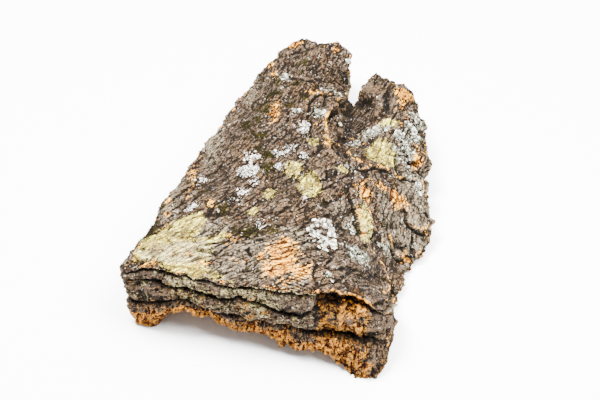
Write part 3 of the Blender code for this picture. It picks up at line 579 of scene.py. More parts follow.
def rim_order(across, along):
    """Grid positions round the edge, anticlockwise from the near left corner."""
    near = [(0, i) for i in range(across)]
    right = [(j, across) for j in range(along)]
    far = [(along, i) for i in range(across, 0, -1)]
    left = [(j, 0) for j in range(along, 0, -1)]
    return np.array(near + right + far + left)


def rim_run(across, along):
    """Distance round the rim in mm, by the usual length of each side."""
    starts = np.concatenate([[0.0], np.cumsum(SIDE_RUN)])
    counts = (across, along, across, along)
    return np.concatenate([start + length * np.arange(count) / count
                           for start, length, count in zip(starts, SIDE_RUN, counts)])


def rim_normals(rim):
    """Outward directions seen from above, eased over the sharp turns."""
    spacing = sum(SIDE_RUN) / len(rim)
    step = round(TURN_REACH / spacing)
    tangent = (np.roll(rim, -step, 0) - np.roll(rim, step, 0))[:, :2]
    normal = np.stack([tangent[:, 1], -tangent[:, 0]], -1)
    for _ in range(round(1.5 * (TURN_EASE / spacing) ** 2)):
        normal = normal / np.linalg.norm(normal, axis=1, keepdims=True)
        normal = normal + np.roll(normal, 1, 0) + np.roll(normal, -1, 0)
    return normal / np.linalg.norm(normal, axis=1, keepdims=True)


def side_values(sides, rim, near, right, far, left, column=1):
    """One value for each rim point, from the table of the side that it lies on."""
    tables = [(near, 0), (right, 1), (far, 0), (left, 1)]
    return np.choose(sides, [read(table, rim[:, axis], column) for table, axis in tables])


def layer_heights(rim, run, foot, nearness):
    """Heights of the borders between the layers, for every rim point, from the top down."""
    wall = rim[:, 2] - foot
    borders = [rim[:, 2]]
    near_tables = (None, NEAR_CRACK, NEAR_INNER)
    for k, (share, table) in enumerate(zip(SIDE_LAYER_SHARE, near_tables)):
        stray = WANDER_SHARE * rim_noise(run, 0, WANDER_SIZE, 20 + k)
        stray += WAVER_SHARE * rim_noise(run, 0, WAVER_SIZE, 24 + k)
        plain = rim[:, 2] - wall * (share + stray)
        near = rim[:, 2] - LIP_THICKNESS if table is None else read(table, rim[:, 0])
        border = nearness * near + (1 - nearness) * plain
        room = 0.12 * wall / len(SIDE_LAYER_SHARE)
        borders.append(np.clip(border, foot + room * (3 - k), borders[-1] - room))
    return np.stack(borders + [foot])


def layer_splits(rim, run, nearness):
    """Depth of the split at each border between layers, for every rim point."""
    splits = [np.zeros(len(rim))]
    for k in range(3):
        come_and_go = 0.1 + smooth(0.4 + 1.1 * rim_noise(run, 0, 28.0, 30 + k))
        near = read(NEAR_SPLIT[k], rim[:, 0])
        splits.append(nearness * near + (1 - nearness) * SIDE_SPLIT[k] * come_and_go)
    return np.stack(splits + [np.zeros(len(rim))])


def near_end_share(rim):
    """1 along the near end, easing to 0 up the two sides."""
    return smooth((-118.0 - rim[:, 1]) / CORNER_BLEND)


def broken_share(rim):
    """1 where the near end is broken away deepest."""
    x = rim[:, 0]
    return near_end_share(rim) * smooth((x - BROKEN_START) / 8) * smooth((BROKEN_END - x) / 8)


def edge_courses():
    """Layer of each row of the torn edge, and how far down that layer the row lies, from 0 to 1."""
    layer = np.repeat(np.arange(len(LAYER_ROWS)), LAYER_ROWS)
    place = np.concatenate([np.arange(1, count + 1) / count for count in LAYER_ROWS])
    return layer, (1 - np.cos(np.pi * place[:, None])) / 2


def edge_form(rim, run, foot):
    """Height of each point of the torn edge, how far out it stands, and how deep in a split it lies."""
    nearness = near_end_share(rim)
    layer, t = edge_courses()
    borders = layer_heights(rim, run, foot, nearness)
    height = borders[layer] + (borders[layer + 1] - borders[layer]) * t
    near_swell = np.stack([read(table, rim[:, 0]) for table in NEAR_SWELL])
    swell = nearness * near_swell[layer] + (1 - nearness) * np.array(SIDE_SWELL)[layer][:, None]
    torn = np.stack([TEAR_DEPTH * rim_noise(run, 0, TEAR_SIZE, 40 + k)
                     + FRAY_DEPTH * rim_noise(run, 0, FRAY_SIZE, 44 + k) for k in range(4)])
    out = (swell + torn[layer] * smooth((layer[:, None] + t) * 3)) * (1 - t) ** 0.5
    splits = layer_splits(rim, run, nearness)
    crack = splits[layer] * np.exp(-t / 0.08) + splits[layer + 1] * np.exp(-(1 - t) / 0.14)
    wall = rim[:, 2] - foot
    lean = SIDE_LEAN * rim_noise(run, 0, 64.0, 48) * (1 - nearness)
    out = out - crack + lean * np.sin(np.pi * (rim[:, 2] - height) / wall)
    out = np.clip(out, -0.25 * wall, 0.25 * wall)
    out = out + 1.0 * rim_noise(run, height / 5, 5.0, 50)
    level, border = rim_blocks(run, height, BLOCK_ACROSS, BLOCK_UP, 52)
    rough = (BLOCK_RELIEF + (BROKEN_RELIEF - BLOCK_RELIEF) * broken_share(rim)) * (layer[:, None] > 0)
    return height, out + rough * (0.7 * level - hump(border / 0.16)), crack


def edge_rows(rim, sides, form, fine):
    """The torn edge as rows of points, from under the upper rim down to the lower rim."""
    height, out, _ = form
    foot = height[-1]
    reaches = (NEAR_REACH, RIGHT_REACH, FAR_REACH, LEFT_REACH)
    reach = np.stack([side_values(sides, rim, *reaches, column) for column in (1, 2)], -1)
    down = smooth((rim[:, 2] - height) / (rim[:, 2] - foot))
    place = rim[:, :2] + rim_normals(rim) * (out + fine)[..., None] + reach * down[..., None]
    return np.concatenate([place, height[..., None]], -1)


def inner_face(u, v, upper, lower, order):
    """Points of the hollow inner face, whose border is the lower rim."""
    shift = np.zeros(u.shape + (2,))
    rise = HOLLOW_HEIGHT * np.sin(np.pi * u) ** 0.7 * np.ones(u.shape)
    gap = np.zeros(u.shape)
    edge_shift, edge_height = np.zeros(u.shape + (2,)), np.zeros(u.shape)
    edge_shift[order[:, 0], order[:, 1]] = (lower - upper)[:, :2]
    edge_height[order[:, 0], order[:, 1]] = lower[:, 2]
    ends = (1 - v) ** 8 + v**8
    for edge, fade in ((np.s_[:1, :], (1 - v) ** 8), (np.s_[-1:, :], v**8),
                       (np.s_[:, :1], (1 - u) ** 6 * (1 - ends)), (np.s_[:, -1:], u**6 * (1 - ends))):
        shift += edge_shift[edge] * fade[..., None]
        gap += (edge_height[edge] - rise[edge]) * fade
    place = plan(u, v) + shift
    x, y = place[..., 0], place[..., 1]
    height = rise + gap + 0.7 * noise(x / 6, y / 40, 60) * smooth(np.minimum(u, 1 - u) * 8)
    for foot_x, foot_y, radius in FEET:
        height *= smooth((np.hypot(x - foot_x, y - foot_y) - radius) / FOOT_SLOPE)
    face = np.concatenate([place, np.maximum(height, 0.0)[..., None]], -1)
    face[order[:, 0], order[:, 1]] = lower
    return face


def grain_coordinates(x, y):
    """How far each place lies along the grain and across it, in mm, as near as a smooth map can tell."""
    powers = [(i, j) for i in range(GRAIN_POWERS + 1) for j in range(GRAIN_POWERS + 1 - i) if i + j]

    def slopes(p, q):
        by_x = [i * p ** max(i - 1, 0) * q**j for i, j in powers]
        by_y = [j * p**i * q ** max(j - 1, 0) for i, j in powers]
        return np.stack(by_x, -1), np.stack(by_y, -1)

    at_x, at_y = np.meshgrid(np.linspace(*SAMPLES_ACROSS), np.linspace(*SAMPLES_ALONG))
    angle = grain_angle(at_x, at_y).ravel()
    angle = np.where(angle < np.radians(-20.0), angle + np.pi, angle)
    by_x, by_y = slopes(at_x.ravel() / HALF_LENGTH, at_y.ravel() / HALF_LENGTH)
    both = np.concatenate([by_x, by_y])
    values = np.stack([(x / HALF_LENGTH) ** i * (y / HALF_LENGTH) ** j for i, j in powers], -1)
    coordinates = []
    for turn in (0.0, np.pi / 2):
        wanted = np.concatenate([np.cos(angle + turn), np.sin(angle + turn)])
        weights = np.linalg.lstsq(both, wanted, rcond=None)[0]
        coordinates.append(HALF_LENGTH * (values @ weights))
    return coordinates


def fine_relief(x, y, calm):
    """Small plates, ribs and grit of the face in mm, calmer under thick crusts, and the plates' levels."""
    height = np.zeros(x.shape)
    shades = np.zeros(x.shape)
    angle = grain_angle(x, y)
    for k, (size, stretch, rise, crack) in enumerate(PLATES):
        level, border, tilt = blocks(x / size, y / size, 61 + 10 * k, None, 2, angle, stretch)
        open_here = smooth(0.5 + 1.2 * noise(x / 17, y / 17, 65 + 10 * k))
        height += rise * (0.6 * level + 1.4 * tilt) - crack * open_here * hump(border / 0.14)
        shades += level * rise * 2
    height += 0.22 * streaks(x, y, 1.9, 15.0, 90) + 0.15 * noise(x / 1.3, y / 1.3, 91)
    return height * (1 - 0.6 * calm), shades


def blurred(values, reach, around=False):
    """Each value as the mean of those up to so many places off, down and across."""
    total = values
    for axis in (0, 1):
        wrap = around and axis == 1
        width = [(reach, reach) if k == axis else (0, 0) for k in (0, 1)]
        padded = np.pad(total, width, mode="wrap" if wrap else "edge")
        sums = np.cumsum(np.insert(padded, 0, 0.0, axis=axis), axis=axis)
        size = 2 * reach + 1
        ahead = np.take(sums, range(size, sums.shape[axis]), axis)
        behind = np.take(sums, range(sums.shape[axis] - size), axis)
        total = (ahead - behind) / size
    return total


def crests(height, around=False):
    """0 in the hollows and 1 on the ridges of a field of heights in mm, which the tone turns into painted
    shade in the hollows and lighter crests.
    """
    near = height - blurred(height, 2, around)
    wide = height - blurred(height, 9, around)
    return np.clip(0.5 + 0.8 * near + 0.2 * wide, 0, 1)


def patch_field(patches, x, y):
    """0.5 on the patches' borders, rising to 1 inside and falling to 0 outside."""
    angle = np.radians(PATCH_TURN)
    best = np.full(x.shape, -10.0)
    for centre_x, centre_y, half_width, half_depth in patches:
        across = ((x - centre_x) * np.cos(angle) + (y - centre_y) * np.sin(angle)) / half_width
        along = ((y - centre_y) * np.cos(angle) - (x - centre_x) * np.sin(angle)) / half_depth
        best = np.maximum(best, (1 - np.hypot(across, along)) * min(half_width, half_depth))
    return 0.5 + 0.5 * np.clip(best / PATCH_EDGE, -1, 1)


def outline_field(outline, x, y):
    """The same for one closed outline."""
    distance, _ = beside(outline + outline[:1], x, y)
    inside = np.zeros(x.shape, bool)
    for (ax, ay), (bx, by) in zip(outline, outline[1:] + outline[:1]):
        crosses = (ay > y) != (by > y)
        inside ^= crosses & (x < (bx - ax) * (y - ay) / (by - ay + 1e-9) + ax)
    return 0.5 + 0.5 * np.clip(np.where(inside, 1, -1) * np.abs(distance) / PATCH_EDGE, -1, 1)


def painted_shade_and_bared(x, y):
    """Painted shade in the furrows, the fold, the crevices below the plates' steps and the splits, and how
    bare the cork is along the broken edges of the plates.
    """
    x, y = shaken(x, y)
    dark = np.maximum(FURROW_PAINTED_SHADE * furrow_share(x, y), FOLD_PAINTED_SHADE * fold_share(x, y)[0])
    bared = np.zeros(x.shape)
    for line, drop, _ in LEDGES:
        lower, size = ledge_parts(line, drop, x, y)
        strength = np.clip(size / 3.0, 0, 1)
        dark = np.maximum(dark, strength * hump((lower - LEDGE_FACE) / LEDGE_FACE))
        bared = np.maximum(bared, strength * hump((lower + 1.5) / 1.6))
    for line, half_width, _ in SPLITS:
        dark = np.maximum(dark, split_share(line, half_width, x, y))
    return dark, bared


def upward(points):
    """Unit directions square to a grid of points, out of the face that they lie on."""
    normal = np.cross(np.gradient(points, axis=1), np.gradient(points, axis=0))
    return normal / np.maximum(np.linalg.norm(normal, axis=-1, keepdims=True), 1e-9)


def weathered_face(u, v):
    """Points of the weathered face and the marks that its material reads."""
    points = outer_face(u, v)
    place = plan(u, v)
    x, y = place[..., 0], place[..., 1]
    yellow = np.maximum(patch_field(YELLOW, x, y), outline_field(BIG_CRUST, x, y))
    fine, shades = fine_relief(x, y, smooth((yellow - 0.45) / 0.2))
    square = smooth(inward(u, v) / 0.02)[..., None]
    normal = square * upward(points) + (1 - square) * np.array([0.0, 0.0, 1.0])
    points = points + normal * fine[..., None]
    # The dark mark is painted shade in the face's furrows, fold, crevices and splits.
    dark, bared = painted_shade_and_bared(x, y)
    rim_bare = 0.5 * smooth(1 - inward(u, v) / 0.012)
    patches = {"white": WHITE, "leafy": LEAFY, "moss": MOSS, "pale": PALE, "ribs": RIBS, "muted": MUTED}
    marks = {name: patch_field(places, x, y) for name, places in patches.items()}
    # The crest mark darkens the hollows of the relief as painted shade and lightens its crests as wear.
    marks.update({
        "yellow": yellow, "dark": dark, "crest": crests(relief(x, y) + fine), "raw": np.zeros(x.shape),
        "shade": 0.5 + 0.5 * np.clip(shades, -1, 1),
        "bare": np.maximum.reduce([patch_field(BARE, x, y), 0.62 * bared, rim_bare]),
        "grain": np.stack([*grain_coordinates(x, y), points[..., 2]], -1),
    })
    return points, marks


def fine_cork(run, height, layer, broken):
    """Fine relief of the torn edge in mm, the levels of its grains, and where a block has fallen out."""
    level, border = rim_blocks(run, height, *GRAIN_BLOCK, 71)
    rib, groove = rim_blocks(run, height, *RIB_BLOCK, 75)
    pit, rim_of_pit = rim_blocks(run, height, *PIT_BLOCK, 79)
    fine = 0.55 * level - 0.7 * hump(border / 0.16)
    fine = np.where(layer == 3, 0.9 * rib - 1.0 * hump(groove / 0.2) + 0.3 * level, fine)
    pitted = broken * (layer == 1) * (pit < PIT_LEVEL)
    fine = fine - PIT_DEPTH * pitted * smooth(rim_of_pit / 0.3)
    return fine + 0.3 * rim_noise(run, height / 1.4, 1.4, 83), level, pitted


def edge_bare(x, layer, nearness, broken, blotch):
    """How bare the cork of the torn edge is."""
    bare = nearness * np.array(NEAR_BARE)[layer] + (1 - nearness) * np.array(SIDE_BARE)[layer]
    bare = bare + 0.24 * blotch
    upper_part = np.clip((edge_courses()[1] - 0.3 - 0.3 * blotch) / 0.2, 0, 1)
    bare = np.where(layer == 3, bare * (0.4 + 0.6 * upper_part), bare)
    bare = np.maximum(bare, broken * (0.82 + 0.25 * blotch))
    grey_foot = smooth((x - GREY_FOOT_START) / GREY_FOOT_REACH) * nearness
    return np.clip(bare * (1 - GREY_FOOT_SHARE * grey_foot), 0, 1)


def edge_darkening(x, layer, nearness, broken, blotch):
    """How dark the torn edge is: patchy on the near layers, painted shade in the recessed layer where the
    near end is broken away, and darker in the layer below it towards the left and in the inmost layer
    towards the near right foot.
    """
    darkening = nearness * (layer > 0) * (layer < 3) * np.clip(0.22 + 0.3 * blotch, 0, 1)
    darkening = darkening + 0.65 * broken * (layer == 1)
    darkening = darkening + 0.38 * broken * (layer == 2) * smooth((72 - x) / 10)
    return darkening + 0.3 * nearness * (layer == 3) * smooth((x - 58) / 14)


def torn_edge(rim, sides, run):
    """Rows of points of the torn edge and their marks."""
    form = edge_form(rim, run, side_values(sides, rim, NEAR_FOOT, RIGHT_FOOT, FAR_FOOT, LEFT_FOOT))
    height, out, crack = form
    layer = edge_courses()[0][:, None] + 0 * sides
    nearness, broken = near_end_share(rim), broken_share(rim)
    fine, level, pitted = fine_cork(run, height, layer, broken)
    blotch = 0.7 * rim_noise(run, height / 9, 14.0, 84) + 0.3 * rim_noise(run, height / 3, 4.0, 85)
    darkening = edge_darkening(rim[:, 0], layer, nearness, broken, blotch)
    none = np.zeros(height.shape)
    whole = (layer < 3) * (1 - broken)
    raw = nearness * np.array(NEAR_RAW)[layer] + (1 - nearness) * (0.7 + 0.35 * blotch)
    pale = nearness * (0.52 + 0.3 * blotch) + (1 - nearness) * (0.8 + 0.3 * blotch)
    # The dark mark is painted shade in the splits between the layers and in the pits, with the edge's
    # darkening; the crest mark is painted shade in the edge's hollows and light on its crests.
    marks = {
        "white": none, "ribs": none, "moss": none, "muted": 1 + none,
        "yellow": nearness * whole * (0.42 + 0.25 * blotch), "leafy": (0.3 + 0.1 * nearness) * whole,
        "pale": pale * (1 - broken) * (layer < 2), "raw": np.clip(raw, 0, 1),
        "bare": edge_bare(rim[:, 0], layer, nearness, broken, blotch),
        "dark": np.maximum.reduce([np.clip(crack / 3.0, 0, 1), darkening, pitted]),
        "crest": crests(out + fine, around=True), "shade": 0.5 + 0.4 * level,
        "grain": np.stack([np.where(layer == 3, 4.0 * height, run + none),
                           np.where(layer == 3, run, 1.2 * height), none], -1),
    }
    return edge_rows(rim, sides, form, fine), marks


def quads(grid):
    """Faces between the rows and columns of a grid of point numbers."""
    return np.stack([grid[:-1, :-1], grid[:-1, 1:], grid[1:, 1:], grid[1:, :-1]], -1).reshape(-1, 4)


def under_faces(dense):
    """Faces of the hollow side at half the edge's density, which still take in all points of its rim."""
    across, along = dense.shape[1] // 2, dense.shape[0] // 2
    faces = []
    for j in range(along):
        for i in range(across):
            low, high, left, right = 2 * j, 2 * j + 2, 2 * i, 2 * i + 2
            ring = [(low, left), (high, left), (high, right), (low, right)]
            middles = [(low + 1, left), (high, left + 1), (high - 1, right), (low, left + 1)]
            on_rim = [i == 0, j == along - 1, i == across - 1, j == 0]
            face = []
            for corner, middle, keep in zip(ring, middles, on_rim):
                face.append(int(dense[corner]))
                if keep:
                    face.append(int(dense[middle]))
            faces.append(face)
    return faces


def mesh_of(name, points, faces, marks):
    """A smooth mesh in metres that carries the marks, without the points that no face uses."""
    used = np.unique(np.concatenate([np.ravel(face) for face in faces]))
    number = np.full(len(points), -1)
    number[used] = np.arange(len(used))
    points = points[used] * MM
    points[:, :2] -= np.array(BOX_MIDDLE) * MM
    mesh = bpy.data.meshes.new(name)
    mesh.from_pydata(points.tolist(), [], [number[face].tolist() for face in faces])
    for mark, values in marks.items():
        if values.ndim == 2:
            data = mesh.attributes.new(mark, "FLOAT_VECTOR", "POINT").data
            data.foreach_set("vector", (values[used] * MM).ravel().astype(np.float32))
        else:
            data = mesh.attributes.new(mark, "FLOAT", "POINT").data
            data.foreach_set("value", values[used].astype(np.float32))
    mesh.shade_smooth()
    return mesh


def picked(points, up, wanted, share, seed):
    """Places of a grid, taken by chance where they are wanted, with the way up and a number for each."""
    down, along = np.indices(wanted.shape)
    taken = wanted & (0.5 + 0.5 * chance(along, down, seed) < share)
    return points[taken], up[taken], (along + 1000 * down)[taken]


def out_of_patch(at, patches, number):
    """Directions away from the middle of the nearest patch, with some turned by chance."""
    gap = at[:, None, :2] - np.array(patches)[:, :2]
    nearest = np.argmin(np.linalg.norm(gap, axis=-1), axis=1)
    out = gap[np.arange(len(at)), nearest]
    out = out / (np.linalg.norm(out, axis=-1, keepdims=True) + 1.0)
    turned = np.stack([chance(number, 1, 201), chance(number, 2, 201)], -1)
    return np.concatenate([out + 0.9 * turned, np.zeros((len(at), 1))], -1)


def frame_at(up, heading):
    """Unit directions along the surface and across it for each place."""
    along = heading - (heading * up).sum(-1, keepdims=True) * up
    along = along / np.maximum(np.linalg.norm(along, axis=-1, keepdims=True), 1e-6)
    return along, np.cross(up, along)


def copies(shape_points, shape_faces, tone):
    """Points, faces and tones of many shapes with the same corners."""
    count, corners = shape_points.shape[:2]
    faces = np.array(shape_faces)[None] + corners * np.arange(count)[:, None, None]
    return shape_points.reshape(-1, 3), faces.reshape(-1, len(shape_faces[0])), tone.reshape(-1)


def lobes(at, up, number, heading, size):
    """Small leaves of lichen that lift towards their tips."""
    along, across = frame_at(up, heading)
    size = (size * (1 + 0.45 * chance(number, 3, 202)))[:, None]
    corners, tones = [], []
    for k, (out, width, lift) in enumerate(LOBE_ROWS):
        for side in (-1, 0, 1):
            shake = chance(number, 5 * k + side, 203)
            rise = lift + 0.08 * abs(side) + 0.07 * chance(number, 5 * k + side, 204)
            step = (out + 0.14 * shake)[:, None] * along
            step = step + (side * width * (1 + 0.35 * shake))[:, None] * across
            corners.append(at + size * (step + rise[:, None] * up))
            tones.append(0.25 + 0.5 * k / len(LOBE_ROWS) + 0.25 * chance(number, 4, 205) + 0.1 * shake)
    faces = [(3 * k + s, 3 * k + s + 1, 3 * k + s + 4, 3 * k + s + 3)
             for k in range(len(LOBE_ROWS) - 1) for s in (0, 1)]
    return copies(np.stack(corners, 1), faces, np.stack(tones, 1))


def blades(at, up, number, length):
    """Tips of moss: narrow cones that lean every way."""
    lean = np.stack([chance(number, k, 206) for k in (1, 2, 3)], -1)
    along, across = frame_at(up, lean)
    tall = (length * (1 + 0.5 * chance(number, 4, 206)))[:, None]
    ring = [at - 0.3 * up + BLADE_RADIUS * (math.cos(turn) * along + math.sin(turn) * across)
            for turn in (0.0, 2.1, 4.2)]
    tip = at + tall * (up + 0.7 * lean)
    light = 0.5 + 0.4 * chance(number, 5, 206)
    tones = np.stack([0.1 + 0 * light] * 3 + [light], 1)
    return copies(np.stack(ring + [tip], 1), [(0, 1, 3), (1, 2, 3), (2, 0, 3)], tones)


def crumbs(at, up, number, size):
    """Crumbs of cork with eight uneven facets."""
    heading = np.stack([chance(number, k, 207) for k in (1, 2, 3)], -1)
    along, across = frame_at(up, heading)
    size = (size * (1 + 0.55 * chance(number, 4, 207)))[:, None]
    corners = []
    for k, (axis, reach) in enumerate(((along, 0.75), (across, 0.5), (up, 0.45))):
        for way in (-1, 1):
            uneven = (1 + 0.4 * chance(number, 2 * k + way, 208))[:, None]
            corners.append(at + way * reach * size * uneven * axis)
    faces = [(0, 2, 4), (2, 1, 4), (1, 3, 4), (3, 0, 4), (2, 0, 5), (1, 2, 5), (3, 1, 5), (0, 3, 5)]
    tone = 0.5 + 0.3 * chance(number, 9, 209)
    return copies(np.stack(corners, 1), faces, np.stack([tone] * 6, 1))


def growth_mesh(name, parts):
    """One mesh out of several lots of points, faces and tones."""
    points, faces, tones, start = [], [], [], 0
    for part_points, part_faces, part_tones in parts:
        points.append(part_points)
        faces.append(part_faces + start)
        tones.append(part_tones)
        start += len(part_points)
    points, tones = np.concatenate(points), np.concatenate(tones)
    zero = np.zeros(len(points))
    marks = {"crest": tones, "shade": tones, "bare": zero + 1, "raw": np.clip(1.4 * tones, 0, 1),
             "tone": tones, "grain": points}
    return mesh_of(name, points, np.concatenate(faces), marks)


def growths(face, place):
    """Meshes of the lichen and the moss on the weathered face."""
    x, y = place[..., 0], place[..., 1]
    up = upward(face)
    ragged = 0.5 * noise(x / 4.5, y / 4.5, 210) + 0.4 * noise(x / 2.2, y / 2.2, 211)
    lots = []
    for patches, share, size, least in [LEAFY_LOBES] + WHITE_LOBES:
        at, way_up, number = picked(face, up, patch_field(patches, x, y) + ragged > least, share, 212)
        lots.append(lobes(at, way_up, number, out_of_patch(at, patches, number), size))
    at, way_up, number = picked(face, up, patch_field(MOSS, x, y) + ragged > MOSS_COVER, MOSS_SHARE, 213)
    tips = blades(at, way_up, number, MOSS_LENGTH)
    return [growth_mesh(name, parts)
            for name, parts in (("lichen lobes", lots[:1]), ("white crust", lots[1:]), ("moss", [tips]))]


def cork_crumbs(rows, bare):
    """Mesh of the crumbs that stick out of the torn edge."""
    wanted = (bare > CRUMB_BARE) & (edge_courses()[0][:, None] > 0)
    at, way_out, number = picked(rows, -upward(rows), wanted, CRUMB_SHARE, 214)
    points, faces, tones = crumbs(at, way_out, number, CRUMB_SIZE)
    points[:, 2] = np.maximum(points[:, 2], 0.0)
    mesh = growth_mesh("cork crumbs", [(points, faces, tones)])
    mesh.shade_flat()
    return mesh


def hollow_side(u, v, rim, lower_rim, order, names):
    """Points of the hollow side and their marks."""
    hollow = inner_face(u, v, rim, lower_rim, order)
    x, y, height = hollow[..., 0], hollow[..., 1], hollow[..., 2]
    ribs = noise(x / 2.4, y / 34, 91)
    hollow[..., 2] = np.where(height > 0.5, height + 0.3 * ribs * smooth(inward(u, v) / 0.03), height)
    marks = {name: HOLLOW_MARKS.get(name, 0.0) + np.zeros(u.shape) for name in names}
    marks["grain"] = np.stack([y, x, hollow[..., 2]], -1)
    # The crest mark is painted shade between the ribs and light on them.
    marks["crest"] = 0.5 + 0.35 * ribs
    marks["shade"] = 0.5 + 0.5 * noise(x / 9, y / 40, 92)
    return hollow, marks


def lower_faces(row_count, grid, order):
    """Faces of the torn edge, row by row from the upper rim down, and of the hollow side below."""
    count = len(order)
    loops = np.arange(count * (row_count + 1)).reshape(row_count + 1, count)
    dense = loops[-1, -1] + 1 + grid
    dense[order[:, 0], order[:, 1]] = loops[-1]
    bands = [np.stack([low, np.roll(low, -1), np.roll(high, -1), high], -1)
             for high, low in zip(loops[:-1], loops[1:])]
    return np.concatenate(bands).tolist() + under_faces(dense)


def bark_meshes():
    """The weathered face, the torn edge with the hollow side, the growths and the crumbs."""
    u, v = np.meshgrid(np.linspace(0, 1, CELLS_ACROSS + 1), np.linspace(0, 1, CELLS_ALONG + 1))
    order = rim_order(CELLS_ACROSS, CELLS_ALONG)
    on_rim = (order[:, 0], order[:, 1])
    sides = np.repeat([0, 1, 2, 3], [CELLS_ACROSS, CELLS_ALONG, CELLS_ACROSS, CELLS_ALONG])
    face, face_marks = weathered_face(u, v)
    flat_marks = {name: values.reshape(u.size, *values.shape[2:]) for name, values in face_marks.items()}
    grid = np.arange(u.size).reshape(u.shape)
    upper = mesh_of("weathered face", face.reshape(-1, 3), quads(grid), flat_marks)

    rim = face[on_rim]
    rows, row_marks = torn_edge(rim, sides, rim_run(CELLS_ACROSS, CELLS_ALONG))
    hollow, hollow_marks = hollow_side(u, v, rim, rows[-1], order, row_marks)
    marks = {}
    for name, values in row_marks.items():
        rim_marks = values[0] if name in ("raw", "bare", "grain") else face_marks[name][on_rim]
        tail = rim_marks.shape[1:]
        marks[name] = np.concatenate([rim_marks, values.reshape(-1, *tail),
                                      hollow_marks[name].reshape(-1, *tail)])
    points = np.concatenate([rim, rows.reshape(-1, 3), hollow.reshape(-1, 3)])
    lower = mesh_of("torn edge and hollow", points, lower_faces(len(rows), grid, order), marks)
    return upper, lower, *growths(face, plan(u, v)), cork_crumbs(rows, row_marks["bare"])


def link(name, mesh, material):
    """A new object of the bark, in its finish and riding with it."""
    piece = bpy.data.objects.new(name, mesh)
    bpy.context.scene.collection.objects.link(piece)
    piece.data.materials.append(material)
    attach(piece, "root")
    return piece


def srgb(red, green, blue, share=1.0):
    """Linear colour from an everyday one of 0 to 255, at that share of its brightness."""
    c = np.array([red, green, blue]) / 255.0
    linear = np.where(c <= 0.04045, c / 12.92, ((c + 0.055) / 1.055) ** 2.4)
    return (*(share * linear).tolist(), 1.0)


